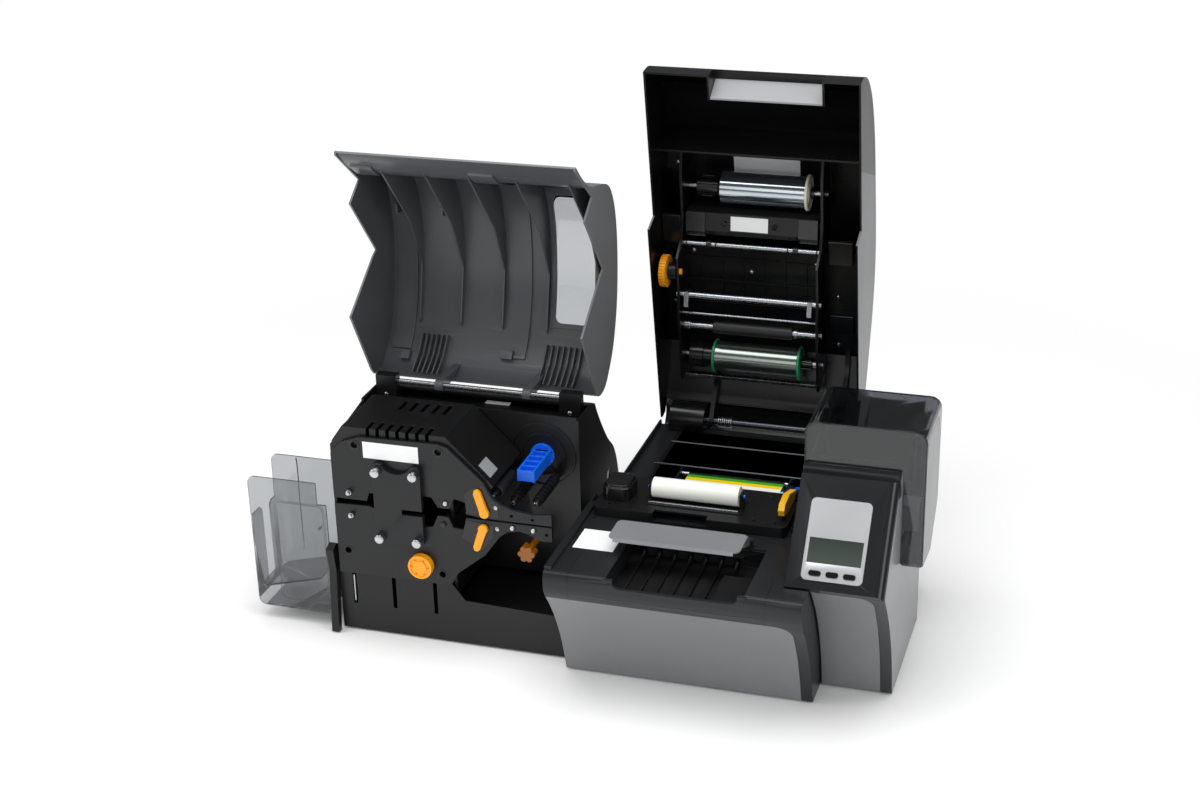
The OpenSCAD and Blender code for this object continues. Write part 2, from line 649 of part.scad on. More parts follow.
module feeder_tray() color("#18191a") seated() difference() {
    box([tower_x0 + wall + 2.2, tray_y[0], tray_floor], [tower_x1 - wall - 0.3, tray_y[1], top_h + 8]);
    box([tower_x0 + 2 * wall + 2, tray_y[0] + wall, tray_floor + wall],
        [tower_x1 + 1, tray_y[1] - wall, top_h + 9]);
    box([tower_x0, card_y[0], tray_floor + 3], [tower_x0 + 2 * wall + 3, card_y[1], tray_floor + 7]);
}

// Front view of the feeder cover, t inside its outline
module cover_front(t) polygon(concat([[cover_x0 + t, cover_low - t]],
    arc([cover_x0 + cover_r, top_h + cover_h - cover_r], cover_r - t, 180, 90, 6),
    arc([feeder_x1 - cover_r, top_h + cover_h - cover_r], cover_r - t, 90, 0,
        6), [[feeder_x1 - t, cover_low - t]]));

module feeder_cover() color([0.12, 0.13, 0.14, 0.75]) seated() {
    difference() {
        union() {
            along_y(feeder_y0, feeder_y1) cover_front(0);
            // leg of the front wall, beside the tower
            along_y(feeder_y0, feeder_y0 + wall)
                round_rect([tower_x1 + 0.4, feeder_low], [feeder_x1, cover_low + 20], 5);
        }
        along_y(feeder_y0 + wall, feeder_y1 - wall) cover_front(wall);
        // the side panel stands below the right part
        along_x(tower_x1 - 0.4, feeder_x1 + 1) polygon([[side_y0 - 0.3, feeder_low - 1],
            [feeder_y1 + 4, feeder_low - 1],
            [feeder_y1 + 4, feed_at[1] + 1.5], [feeder_y1 + 0.5, feed_at[1] + 1.5],
            [side_slant + 0.5, side_top + 0.5], [side_y0 - 0.3, side_top + 0.5]]);
    }
    // hinge knuckles
    for (x = [tower_x0 + 12, tower_x1 - 27]) along_x(x, x + 15) polygon([[feeder_y1 - 2, cover_low],
        [feeder_y1 + 4, cover_low + 1], [feeder_y1 + 5, cover_low + 5], [feeder_y1 - 1, cover_low + 12]]);
}

module feeder_side_cover() color("#737678") seated() difference() {
    low = feeder_low - 6;
    along_x(tower_x1, feeder_x1) polygon(concat([[side_y0, feeder_low], [150, low],
        [feeder_y1 - 3, low + 52], [feeder_y1, feed_at[1] + 1], [side_slant, side_top],
        [side_y0 + 8, side_top]], arc(feed_at, feed_at[0] - side_y0, 160, 180, 4)));
    along_x(tower_x1 - 1, feeder_x1 - wall) polygon([[side_y0 - 1, feeder_low + wall], [149, low + wall],
        [feeder_y1 - 3 - wall, low + 53], [feeder_y1 - wall, side_top + 1], [side_y0 - 1, side_top + 1]]);
}

module card_weight() color("#dfe2e4") seated() {
    z0 = tray_floor + wall + 0.2;
    box([tower_x0 + 3 * wall, card_y[0], z0], [tower_x1 - 3, card_y[1], z0 + 9]);
    box([tower_x1 - 12, card_y[0], z0 + 8], [tower_x1 + 18, card_y[0] + 32, z0 + 46]);
}

// ---- printer lid ----

lid_skin = smooth([[lid_front_y, lid_rim_front], [lid_front_y + 3, lid_rim_front + 28],
    [lid_front_y + 17, lid_rim_front + 54],
    [lid_front_y + 42, lid_rim_front + 76], [0, lid_top - 20], [60, lid_top - 6], [140,
        lid_top - 0.5], [skin_flat_y, lid_top],
    [hinge_y - 174, lid_top - 21], [hinge_y - 104, lid_top - 58], [hinge_y - 44, lid_top - 93],
    [hinge_y - 16, hinge_z + 30]]);

// The skin from depth a to depth b below its outside
module lid_band(a, b) polygon(concat(inset(lid_skin, -a), backwards(inset(lid_skin, -b))));

module lid_shell() color("#6b6d6f") seated() lid_raised() difference() {
    union() {
        difference() {
            union() {
                along_x(lid_x0, lid_x1) lid_band(0, wall);
                for (x = [lid_x0, lid_x1 - wall]) along_x(x, x + wall)
                    polygon(concat(lid_skin, [[hinge_y + 2, hinge_z + 16],
                    [hinge_y + 2, lid_rim_rear], [rim_step_y + 1, lid_rim_rear], [rim_step_y - 6,
                        lid_rim_front]]));
                // apron that turns behind the hinge and closes the gap under the raised lid
                along_x(lid_x0, lid_x1) polygon(concat(arc([hinge_y, hinge_z], 34.5, 25, 120, 12),
                    arc([hinge_y, hinge_z], 31.5, 120, 25, 12)));
            }
            // grip notch in the front edge
            box([notch_x[0], lid_front_y - 1, lid_rim_front - 1],
                [notch_x[1], lid_front_y + 50, lid_rim_front + 40]);
        }
        // walls of the notch
        for (x = [notch_x[0] - wall, notch_x[1]]) along_x(x, x + wall)
            translate([lid_front_y, lid_rim_front]) polygon([[2, 1], [40, 1], [24, 42], [10, 42], [4, 28]]);
        box([notch_x[0] - wall, lid_front_y + 11, lid_rim_front + 39],
            [notch_x[1] + wall, lid_front_y + 26, lid_rim_front + 42]);
    }
    rod_x(lid_x0 + wall, lid_x1 - wall, [hinge_y, hinge_z], 31);
}

module lid_grip_panel() color("#a4a7a9") seated() lid_raised() along_x(notch_x[0] + 0.2, notch_x[1] - 0.2)
    translate([lid_front_y, lid_rim_front]) polygon([[36, 2], [39, 2], [25, 38.8], [22, 38.8]]);

module frame_profile() polygon([[60, 300], [60, 262], [104, 247], [180, 243], [211, 228], [226, 199],
    [290, 198], [318, 190],
    [438, 190], [442, 214], [418, 244], [300, 284], [240, 300]]);

module lid_liner() color("#0d0d0e") seated() lid_raised() difference() {
    x0 = lid_x0 + wall + 0.3;
    x1 = lid_x1 - wall - 0.3;
    union() {
        // ceiling under the skin
        along_x(x0, x1) difference() {
            lid_band(wall + 0.3, 2 * wall + 0.3);
            translate([-200, 0]) square([900, 247]);
            translate([lid_front_y - 5, 0]) square([50, 400]);
            translate([hinge_y - 92, 0]) square([100, 400]);
        }
        for (x = [frame_x0, frame_x1]) along_x(x, x + frame_t) frame_profile();
        // tray behind the rollers, and the shelf and wall before the film
        box([x0, 225, 249], [x1, hinge_y - 100, 252]);
        box([x0, 56, 292], [frame_x0 + 1, 120, 295]);
        box([x0, 56, 228], [x1, 59, 312]);
        for (x = arm_x) along_x(x, x + arm_t) {
            translate([hinge_y, 0]) polygon([[-124, 250], [-100, 251.5], [-76, 242.5], [6, hinge_z + 9],
                [-9, hinge_z - 6], [-65, 226], [-80, 239.5], [-104, 246.5]]);
            translate([hinge_y, hinge_z]) circle(11);
        }
    }
    for (x = arm_x) rod_x(x - 1, x + arm_t + 1, [hinge_y, hinge_z], hinge_shaft_r + run_gap);
    for (p = [film_at, takeup_at, roller_at, cam_at]) rod_x(frame_x0 - 1, frame_x1 + frame_t + 1, p,
        spindle_r + run_gap);
    rod_x(frame_x0 - 1, frame_x0 + frame_t + 1, thumb_at, spindle_r + run_gap);
}

// A spindle that runs from frame to frame
module spindle(at) rod_x(frame_x0 - 3, frame_x1 + frame_t + 3, at, spindle_r);

module film_supply_spool() color("#b8bcc0") seated() lid_raised() {
    end = spool_x + film_w;
    rod_x(spool_x, end, film_at, film_r);
    rod_x(end, end + 5, film_at, film_r + 3);
    rod_x(end + 5, end + 12, film_at, 14);
    rod_x(spool_x - 38, spool_x - 4, film_at, 16);
    spindle(film_at);
}

module film_takeup_spool() color("#b8bcc0") seated() lid_raised() {
    start = spool_x - 6;
    end = start + film_w;
    rod_x(start - 4, start, takeup_at, takeup_r + 3);
    rod_x(start, end, takeup_at, takeup_r);
    rod_x(end, end + 4, takeup_at, takeup_r + 3);
    rod_x(start - 42, start - 6, takeup_at, 20);
    rod_x(end + 4, end + 22, takeup_at, 9);
    spindle(takeup_at);
}

module pressure_block() color("#141516") seated() lid_raised() {
    x0 = frame_x0 + frame_t;
    along_x(x0 + 4, frame_x1 - 4) polygon([[block_y + 2, 246], [block_y + 30, 240], [block_y + 38, 243],
        [block_y + 40, 262], [block_y + 34, 292], [block_y + 6, 292], [block_y, 262]]);
    for (x = [x0, frame_x1 - 5]) box([x, block_y + 10, 252], [x + 5, block_y + 30, 280]);
}

module lid_rods() color("#a9adb0") seated() lid_raised() {
    x0 = frame_x0 + frame_t;
    rod_x(x0, frame_x1, [218, 238], 4);
    rod_x(x0, frame_x1, [324, 206], 2);
    box([x0, 433, 200], [frame_x1, 438, 208]);
}

module transfer_roller() color("#25262a") seated() lid_raised() {
    spindle(roller_at);
    rod_x(frame_x0 + 53, frame_x1 - 39, roller_at, 10);
}

module lid_thumbwheel() color("#f59c0a") seated() lid_raised() {
    x0 = lid_x0 + 10;
    difference() {
        rod_x(x0, x0 + 10, thumb_at, thumbwheel_r);
        translate([0, thumb_at[0], thumb_at[1]]) for (i = [0:29]) rotate([i * 12, 0, 0])
            box([x0 - 1, thumbwheel_r - 1.6, -0.8], [x0 + 11, thumbwheel_r + 1, 0.8]);
    }
    rod_x(x0 + 9, frame_x0 + frame_t + 3, thumb_at, spindle_r);
}

module cam_bar() color("#b9c4c8") seated() lid_raised() {
    spindle(cam_at);
    for (x = [frame_x0 + frame_t + 6, frame_x1 - 14]) along_x(x, x + 7)
        polygon([cam_at + [-7, -5], cam_at + [-5, 7], cam_at + [7, 6], cam_at + [19, -8],
            cam_at + [15, -13]]);
}

// ---- laminator ----

module laminator_base() color("#1a1b1c") seated() difference() {
    x1 = body_x - seam;
    low = lam_base_h - 30;
    union() {
        along_y(plate_y + 6, plate_y + 6 + wall) polygon([[lam_x, foot_h], [x1, foot_h], [x1, low],
            [-150, low + 6], [-168, lam_base_h], [lam_x, lam_base_h]]);
        box([lam_x, plate_y + 6, foot_h], [lam_x + wall, lam_depth, lam_base_h]);
        box([lam_x, plate_y + 6, foot_h], [x1, lam_depth, foot_h + wall]);
        box([lam_x, lam_depth - wall, foot_h], [x1, lam_depth, lam_base_h]);
        box([x1 - wall, plate_y + 6, foot_h], [x1, lam_depth, low]);
        // floor of the film chamber
        box([-168, plate_y + 8, low - 10], [x1 - 1, lam_depth - 1, low - 10 + wall]);
    }
    for (x = [-322, -260, -196]) box([x - 3, plate_y, 45], [x + 3, plate_y + 12, lam_base_h + 1]);
}

back_curve = smooth([[206, 320], [226, 316], [236, 300], [255, 272], [285, 234], [315, 205], [334, 160],
    [lam_depth, lam_base_h]], 3);

module chassis_side() polygon(concat([[plate_y + 9, lam_base_h], [plate_y + 9, 298], [lam_wall_y, 316],
    [lam_wall_y, 320]], back_curve));

module laminator_chassis() color("#161718") seated() {
    along_x(lam_x, lam_x + 4) chassis_side();
    along_x(lam_x1 - 4, lam_x1) intersection() {
        chassis_side();
        translate([lam_wall_y, 0]) square([400, 400]);
    }
    // curved back
    along_x(lam_x + 3, lam_x1 - 3) intersection() {
        difference() {
            chassis_side();
            offset(delta = -4) chassis_side();
        }
        translate([206, lam_base_h]) square([200, 400]);
    }
    box([lam_x + 3, lam_wall_y, 302], [lam_x1 - 3, 209, 306]);
    // wall of the film chamber, and the partition beside the heater
    difference() {
        box([-176, lam_wall_y, lam_base_h - 28], [lam_x1 - 3, lam_wall_y + wall, 324]);
        rod_y(lam_wall_y - 1, lam_wall_y + wall + 1, hub_at, 6 + run_gap);
        rod_y(lam_wall_y - 1, lam_wall_y + wall + 1, amber_at, 5 + run_gap);
    }
    difference() {
        box([-167, plate_y + 12, lam_base_h - 20], [-163, lam_wall_y + 1, 240]);
        box([-168, plate_y + 20, split_z - 12], [-162, lam_wall_y - 20, split_z + 12]);
    }
    // rings round the film core
    difference() {
        for (r = ring_r) difference() {
            rod_y(lam_wall_y - 2.5, lam_wall_y + 0.5, hub_at, r);
            rod_y(lam_wall_y - 3, lam_wall_y + 0.1, hub_at, r - 3);
        }
        rod_y(lam_wall_y - 1, lam_wall_y + 1, hub_at, 6 + run_gap);
        for (p = idler_at) rod_y(lam_wall_y - 3, lam_wall_y, p, 5.3);
    }
    // brackets of the hinge rod
    for (x = [[-338, -306], [-52, -20]]) difference() {
        box([x[0], 190, 305], [x[1], 206, 342]);
        rod_x(x[0] - 1, x[1] + 1, lam_hinge, lam_rod_r);
    }
}

module plate_bores() {
    for (p = concat(shaft_holes, [heat_at, knob_at])) rod_y(plate_y - 1, plate_y + plate_t + 1, p,
        shaft_r + run_gap);
    for (p = [lever_up, lever_low]) rod_y(plate_y - 1, plate_y + plate_t + 1, p, lever_r + run_gap);
    for (p = plate_holes) rod_y(plate_y - 1, plate_y + plate_t + 1, [p[0], p[1]], p[2]);
}

module upper_plate() color("#222426") seated() difference() {
    low = split_z + split_gap / 2;
    along_y(plate_y, plate_y + plate_t) polygon([[-341, low + 5], [-341, 289], [-323, 308], [-295, 318],
        [-176, 320],
        [-162, 316], [-111, 269], [-99, 247], [-88, 238], [-70, 231], [-38, 227.5], [-12, 231], [-12,
            low], [-115, low],
        [-139, low + 3], [-139, low + 21], [-156, low + 25], [-164, low + 8], [-181, low + 8], [-190,
            low + 23],
        [-208, low + 24], [-286, low + 18], [-290, low + 5]]);
    plate_bores();
}

module lower_plate() color("#222426") seated() difference() {
    top = split_z - split_gap / 2;
    along_y(plate_y, plate_y + plate_t) polygon([[-341, top - 1.5], [-288, top], [-206, top - 23],
        [-190, top - 20],
        [-182, top - 2], [-166, top - 2], [-159, top - 18], [-143, top - 19], [-139, top], [-12,
            top], [-12, 189],
        [-29, 188], [-45, 196], [-60, 199.5], [-78, 196], [-90, 187], [-113, 155], [-155, 121], [-168,
            99], [-341, 98]]);
    plate_bores();
}

module cover_section() polygon([[lam_x + 5, 291], [lam_x + 5, 306], [lam_x + 22, 330], [-166, 330],
    [-98, 262], [-108, 250], [-128, 250], [-169, 291]]);

module vented_cover() color("#17181a") seated() difference() {
    along_y(plate_y + plate_t + 0.3, lam_wall_y - 2.8) cover_section();
    along_y(plate_y + plate_t + 4, lam_wall_y - 6) polygon([[lam_x + 9, 290], [lam_x + 9, 305],
        [lam_x + 24, 327], [-168, 327], [-104, 262],
        [-110, 253], [-126, 253], [-166, 290]]);
    // front louvres and the row of slots behind them
    for (i = [0:6]) box([-286 + i * 15, plate_y + plate_t - 1, 300], [-281 + i * 15, plate_y + 30, 340]);
    for (i = [0:4]) box([-268 + i * 17, 104, 322], [-262 + i * 17, 136, 340]);
}

screw_at = [for (x = [cover_x[0] + 8, cover_x[1] - 8], z = [cover_z[0] + 8, cover_z[1] - 10]) [x, z]];

module heater_cover() color("#141517") seated() along_y(plate_y - cover_t, plate_y) difference() {
    round_rect([cover_x[0], cover_z[0]], [cover_x[1], cover_z[1]], 5);
    translate([(cover_x[0] + cover_x[1]) / 2, cover_z[1] + 13]) circle(26);
    translate([cover_x[0] + 42, split_z - 4]) square([34, 8]);
    for (p = screw_at) translate(p) circle(4.2);
}

module thumb_screws() color("#d5d8da") seated() for (p = screw_at) {
    rod_y(plate_y - cover_t - 11, plate_y - cover_t, p, 6.5);
    rod_y(plate_y - cover_t - 1, plate_y, p, 4);
}

module lever(at, turn) translate([at[0], 0, at[1]]) rotate([0, turn, 0]) {
    along_y(plate_y - 6, plate_y - 0.5) {
        circle(7);
        polygon([[-6, 3], [-5, 32], [-2, 37], [3, 37], [6, 32], [6, 3]]);
    }
    rod_y(plate_y - 2, plate_y + plate_t + 3, [0, 0], lever_r);
}

module upper_lever() color("#f59c0a") seated() lever(lever_up, -18);
module lower_lever() color("#f59c0a") seated() lever(lever_low, 198);

module drive_knob() color("#f59c0a") seated() {
    front = plate_y - 12;
    difference() {
        rod_y(front, plate_y - 1, knob_at, knob_r);
        difference() {
            rod_y(front - 1, front + 1.5, knob_at, knob_r - 3);
            rod_y(front - 2, front + 2, knob_at, knob_r - 8);
        }
        for (i = [0:5]) rod_y(front - 1, front + 3, knob_at + (knob_r - 5.5) * [cos(i * 60),
            sin(i * 60)], 1.6);
    }
    rod_y(plate_y - 2, 120, knob_at, shaft_r);
    rod_y(plate_y + plate_t + 4, 110, knob_at, heat_roller_r);
}

module feed_roller() color("#2b2c2e") seated() {
    rod_y(plate_y - 3, 120, heat_at, shaft_r);
    rod_y(plate_y + plate_t + 4, 110, heat_at, 6.5);
}

module film_idlers() color("#101011") seated() for (p = idler_at) {
    rod_y(58, lam_wall_y, p, 5);
    for (i = [0:6]) rod_y(62 + i * 11, 70 + i * 11, p, 8);
}

module supply_hub() color("#0a6fe8") seated() {
    rod_y(lam_wall_y - 5, lam_wall_y - 0.5, hub_at, 18);
    rod_y(lam_wall_y - 1, lam_wall_y + wall + 4, hub_at, 6);
    // ribbed grip
    translate([hub_at[0], lam_wall_y - spindle_l, hub_at[1]]) {
        for (x = [-13, 10]) box([x, 0, -9], [x + 3, spindle_l - 4, 9]);
        box([-11, 1, -1.5], [11, spindle_l - 4, 1.5]);
        for (i = [0:4]) let (y = i * (spindle_l - 9) / 4) box([-11, y, -8], [11, y + 3, 8]);
    }
}

module takeup_hub() color("#c8780c") seated() {
    rod_y(88, 108, amber_at, 8);
    for (i = [0:5]) rod_y(88, 104, amber_at + 8.5 * [cos(i * 60), sin(i * 60)], 4.5);
    rod_y(107, lam_wall_y + wall + 4, amber_at, 5);
}

lam_skin = smooth([[190, 360], [186, 372], [171, 389], [140, 399], [106, 402.5], [60, 396], [13, 380],
    [-40, 352], [-78, 322], [-100, 290],
    [-103, 262], [-92, 222], [-82, 187], [-84, 150], [-92, 114]], 3);

module lam_side() polygon(concat(lam_skin, [[-86, 114], [-72, 205], [-32, 186], [12, 302], [23, 294],
    [123, 244], [186, 348]]));

module lam_band() polygon(concat(lam_skin, backwards(inset(lam_skin, wall))));

module under_lam_skin() polygon(concat(lam_skin, [[190, 114]]));

// A pad of thickness t on the inside of the skin
module lam_pad(x, y, low, t) intersection() {
    along_x(x[0], x[1]) polygon(concat(inset(lam_skin, wall - 0.3), backwards(inset(lam_skin, wall + t))));
    box([x[0] - 1, y[0], low], [x[1] + 1, y[1], 420]);
}

pane_x = [-98, -38];
pane_y = [-90, 84];
module pane(g) translate([0, 0, 292]) linear_extrude(130)
    round_rect([pane_x[0] + g, pane_y[0] + g], [pane_x[1] - g, pane_y[1] - g], 12 - g);

// A plate that hangs under the skin
module lam_fin(x, t, edge) along_x(x, x + t) intersection() {
    under_lam_skin();
    polygon(edge);
}

module laminator_lid() color("#4c4e51") seated() lam_lid_raised() difference() {
    union() {
        along_x(lam_lid_x0, lam_lid_x1) lam_band();
        for (x = [lam_lid_x0, lam_lid_x1 - wall]) along_x(x, x + wall) lam_side();
        // hinge tabs
        for (x = [-246, -110]) along_x(x, x + 12) {
            translate(lam_hinge) circle(8);
            polygon([[160, 391], [186, 368], lam_hinge + [4, 6], lam_hinge + [-6, -4]]);
        }
        // long gussets
        for (x = gusset_x)
            lam_fin(x, 2.4, [[-120, 150], [-84, 150], [-34, 300], [15, 368], [96, 392], [118, 420],
                [-120, 420]]);
        // short ribs near the hinge
        for (x = concat([for (i = [0:5]) -302 + i * 8], [for (i = [0:6]) -104 + i * 9]))
            lam_fin(x, 1.6, [[118, 420], [118, 389], [150, 383], [180, 366], [182, 420]]);
        // toothed clips
        for (x = [-337, -265]) lam_fin(x, 4, [[-120, 280], [-96, 285], [-88, 294], [-84, 289], [-76, 299],
            [-71, 293], [-63, 304], [-58, 298], [-46, 304], [-52, 320], [-60, 350], [-120, 350]]);
        // strips, screw boss and catch inside the skin
        lam_pad([-350, -318], [-96, 143], 150, 3);
        lam_pad([-172, -136], [-96, 143], 150, 3);
        lam_pad([-330, -316], [146, 160], 300, 9);
        lam_pad([-173, -154], [132, 146], 300, 11);
        difference() {
            lam_pad(pane_x + [-7, 7], pane_y + [-7, 7], 280, 2);
            pane(0);
        }
    }
    for (x = [-246, -110]) rod_x(x - 1, x + 13, lam_hinge, lam_rod_r + run_gap);
    pane(0);
}

module laminator_lid_window() color([0.5, 0.52, 0.54, 0.5]) seated() lam_lid_raised() intersection() {
    along_x(pane_x[0] - 1, pane_x[1] + 1) lam_band();
    pane(0.2);
}

module lid_hinge_rod() color("#c3c6c8") seated() rod_x(-338, -20, lam_hinge, lam_rod_r);

// ---- output hopper ----

module output_hopper() color([0.55, 0.57, 0.6, 0.45]) seated() {
    x0 = hopper_x0;
    x1 = hopper_x1;
    top = hopper_z + hopper_h;
    // front wall, with a step at its right end and the outline of the pocket inside
    along_y(hopper_y0, hopper_y0 + sheet) difference() {
        round_rect([x0, hopper_z], [x1, top], 12);
        translate([x1 - 14, top - 34]) square([20, 40]);
    }
    along_y(hopper_y0 + sheet - 0.1, hopper_y0 + 5) difference() {
        round_rect([x0 + 38, hopper_z + 14], [x1 - 5, top - 36], 12);
        round_rect([x0 + 40, hopper_z + 16], [x1 - 7, top - 38], 10);
    }
    // rear wall and its rib
    along_y(hopper_y1 - sheet, hopper_y1) round_rect([x0, hopper_z], [x1, top], 12);
    box([x0 + 40, hopper_y1 - 5, hopper_z + 60], [x0 + 43, hopper_y1 - 1, top - 4]);
    // left wall, open for a finger between its two tongues
    along_x(x0, x0 + sheet) translate([0, hopper_z]) polygon([[hopper_y0 + 1, 12], [hopper_y1 - 1, 12],
        [hopper_y1 - 1, 143], [hopper_y1 - 17, 143], [hopper_y1 - 22, 137], [hopper_y1 - 22, 24], [82,
            18], [70, 18],
        [64, 24], [64, 142], [58, 148], [hopper_y0 + 1, 148]]);
    // bottom, sloping floor and the ramp behind it
    box([x0 + 12, hopper_y0 + 1, hopper_z], [x1 - 12, hopper_y1 - 1, hopper_z + sheet]);
    along_y(hopper_y0 + 1, hopper_y1 - 1) translate([x0, hopper_z])
        polygon([[1, 28], [hopper_w - 18, 55], [hopper_w - 18, 55 + sheet], [1, 28 + sheet]]);
    along_y(hopper_y1 - 14, hopper_y1 - 1) translate([x0, hopper_z])
        polygon([[2, 23], [76, 99], [73, 102], [2, 29]]);
}

module hopper_arm() color("#0e0e0f") seated()
    along_x(lam_x - arm_w, lam_x - 0.2) polygon([[14, 2], [24, 0], [32, 60], [42, 100], [42, 134],
        [30, 142], [16, 136], [22, 100], [18, 50]]);

centre_housing();
base_pan();
well_frame();
feet();
front_panel();
front_bezel();
exit_tray();
exit_flap();
deck_plate();
latch_block();
metal_fittings();
cleaning_roller();
cleaning_carrier();
ribbon_supply();
ribbon_takeup();
ribbon_film();
release_lever();
hinge_shaft();
hinge_drum();
tower_housing();
tower_front_panel();
control_bezel();
display_plate();
display_window();
button_left();
button_middle();
button_right();
feeder_tray();
feeder_cover();
feeder_side_cover();
card_weight();
lid_shell();
lid_liner();
lid_grip_panel();
film_supply_spool();
film_takeup_spool();
pressure_block();
lid_rods();
transfer_roller();
lid_thumbwheel();
cam_bar();
laminator_base();
laminator_chassis();
upper_plate();
lower_plate();
vented_cover();
heater_cover();
thumb_screws();
upper_lever();
lower_lever();
drive_knob();
feed_roller();
film_idlers();
supply_hub();
takeup_hub();
laminator_lid();
laminator_lid_window();
lid_hinge_rod();
output_hopper();
hopper_arm();
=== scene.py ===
import json
import math

import bmesh
import bpy
from mathutils import Matrix, Vector


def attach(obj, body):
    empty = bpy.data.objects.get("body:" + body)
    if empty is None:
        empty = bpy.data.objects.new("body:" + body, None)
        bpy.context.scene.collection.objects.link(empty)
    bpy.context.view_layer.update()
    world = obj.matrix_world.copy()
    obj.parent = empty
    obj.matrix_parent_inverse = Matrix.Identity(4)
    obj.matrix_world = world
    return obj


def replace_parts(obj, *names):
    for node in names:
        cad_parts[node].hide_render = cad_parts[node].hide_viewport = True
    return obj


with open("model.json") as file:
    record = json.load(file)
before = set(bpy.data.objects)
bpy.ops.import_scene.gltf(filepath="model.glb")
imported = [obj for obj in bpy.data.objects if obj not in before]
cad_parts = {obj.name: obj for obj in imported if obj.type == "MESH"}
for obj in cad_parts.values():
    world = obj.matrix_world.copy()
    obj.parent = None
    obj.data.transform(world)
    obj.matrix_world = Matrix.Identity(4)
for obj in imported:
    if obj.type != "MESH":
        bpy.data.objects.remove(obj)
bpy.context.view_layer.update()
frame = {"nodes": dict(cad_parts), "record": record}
mm = 0.001
metre = 1000  # millimetres, so a pattern of p mm has the scale metre / p
# the part is drawn from this corner, and stands on the middle of its box
midX, midY = 7.5, 261.853
print("frame loaded:", len(frame["nodes"]), "nodes")


def toLinear(code):
    # sRGB hex to the linear values that shaders use
    parts = [int(code[i:i + 2], 16) / 255 for i in (1, 3, 5)]
    return tuple(c / 12.92 if c <= 0.04045 else ((c + 0.055) / 1.055) ** 2.4 for c in parts) + (1.0,)


def addNode(tree, kind, inputs=None, **settings):
    node = tree.nodes.new(kind)
    for key, value in settings.items():
        setattr(node, key, value)
    for key, value in (inputs or {}).items():
        if isinstance(value, bpy.types.NodeSocket):
            tree.links.new(value, node.inputs[key])
        else:
            node.inputs[key].default_value = value
    return node


def newMaterial(name):
    material = bpy.data.materials.new(name)
    material.use_nodes = True
    tree = material.node_tree
    return material, tree, tree.nodes["Principled BSDF"]


# materials: patches, pitches, ripples and depths are in millimetres
moulding = {"patch": 160, "grainDepth": 0.02, "roughSpread": 0.04, "ior": 1.53}


def mouldedPlastic(name, color, rough, grain=1.1, depth=0.25, shade=0.10, coat=0.0, flake=0.0, sheen=0.5):
    # injection-moulded ABS: spark-eroded tool skin, so a fine even grain breaks up a soft highlight;
    # a real skin is finer than 1 mm, and is drawn coarser so that it shows
    material, tree, shader = newMaterial(name)
    coords = addNode(tree, "ShaderNodeTexCoord").outputs["Object"]
    fine = addNode(tree, "ShaderNodeTexNoise", {"Vector": coords, "Scale": metre / grain,
                                                "Detail": 2.0, "Roughness": 0.6})
    broad = addNode(tree, "ShaderNodeTexNoise", {"Vector": coords, "Scale": metre / moulding["patch"],
                                                 "Detail": 3.0})
    low = tuple(c * (1 - shade) for c in toLinear(color)[:3]) + (1,)
    high = tuple(min(1, c * (1 + shade)) for c in toLinear(color)[:3]) + (1,)
    tone = addNode(tree, "ShaderNodeMix", {"Factor": broad.outputs["Fac"], 6: low, 7: high}, data_type="RGBA")
    tree.links.new(tone.outputs[2], shader.inputs["Base Color"])
    spread = moulding["roughSpread"]
    gloss = addNode(tree, "ShaderNodeMapRange", {
        "Value": broad.outputs["Fac"], "From Min": 0.2, "From Max": 0.8,
        "To Min": rough - spread, "To Max": rough + spread}, interpolation_type="SMOOTHSTEP")
    tree.links.new(gloss.outputs["Result"], shader.inputs["Roughness"])
    bump = addNode(tree, "ShaderNodeBump", {"Height": fine.outputs["Fac"], "Strength": depth,
                                            "Distance": moulding["grainDepth"] * mm})
    tree.links.new(bump.outputs["Normal"], shader.inputs["Normal"])
    shader.inputs["IOR"].default_value = moulding["ior"]
    shader.inputs["Specular IOR Level"].default_value = sheen
    shader.inputs["Coat Weight"].default_value = coat
    shader.inputs["Metallic"].default_value = flake
    return material


machining = {"pitch": 0.6, "streaks": 60.0, "depth": 0.02, "strength": 0.15, "roughRange": (0.75, 1.3)}


def machinedMetal(name, color, rough, axis=0):
    # turned or drawn steel: fine lines run round the axis and stretch the highlight;
    # the streaks are counted per metre across the other two axes
    material, tree, shader = newMaterial(name)
    coords = addNode(tree, "ShaderNodeTexCoord").outputs["Object"]
    stretch = [machining["streaks"]] * 3
    stretch[axis] = metre / machining["pitch"]
    lines = addNode(tree, "ShaderNodeMapping", {"Vector": coords, "Scale": stretch})
    noise = addNode(tree, "ShaderNodeTexNoise", {
        "Vector": lines.outputs["Vector"], "Scale": 1.0, "Detail": 3.0})
    smooth, dull = machining["roughRange"]
    gloss = addNode(tree, "ShaderNodeMapRange", {
        "Value": noise.outputs["Fac"], "From Min": 0.3, "From Max": 0.7,
        "To Min": rough * smooth, "To Max": rough * dull})
    bump = addNode(tree, "ShaderNodeBump", {"Height": noise.outputs["Fac"], "Strength": machining["strength"],
                                            "Distance": machining["depth"] * mm})
    tree.links.new(gloss.outputs["Result"], shader.inputs["Roughness"])
    tree.links.new(bump.outputs["Normal"], shader.inputs["Normal"])
    shader.inputs["Base Color"].default_value = toLinear(color)
    shader.inputs["Metallic"].default_value = 1.0
    return material


sheet = {"ripple": 45, "depth": 1.5, "strength": 0.06, "rough": 0.03, "ior": 1.585}


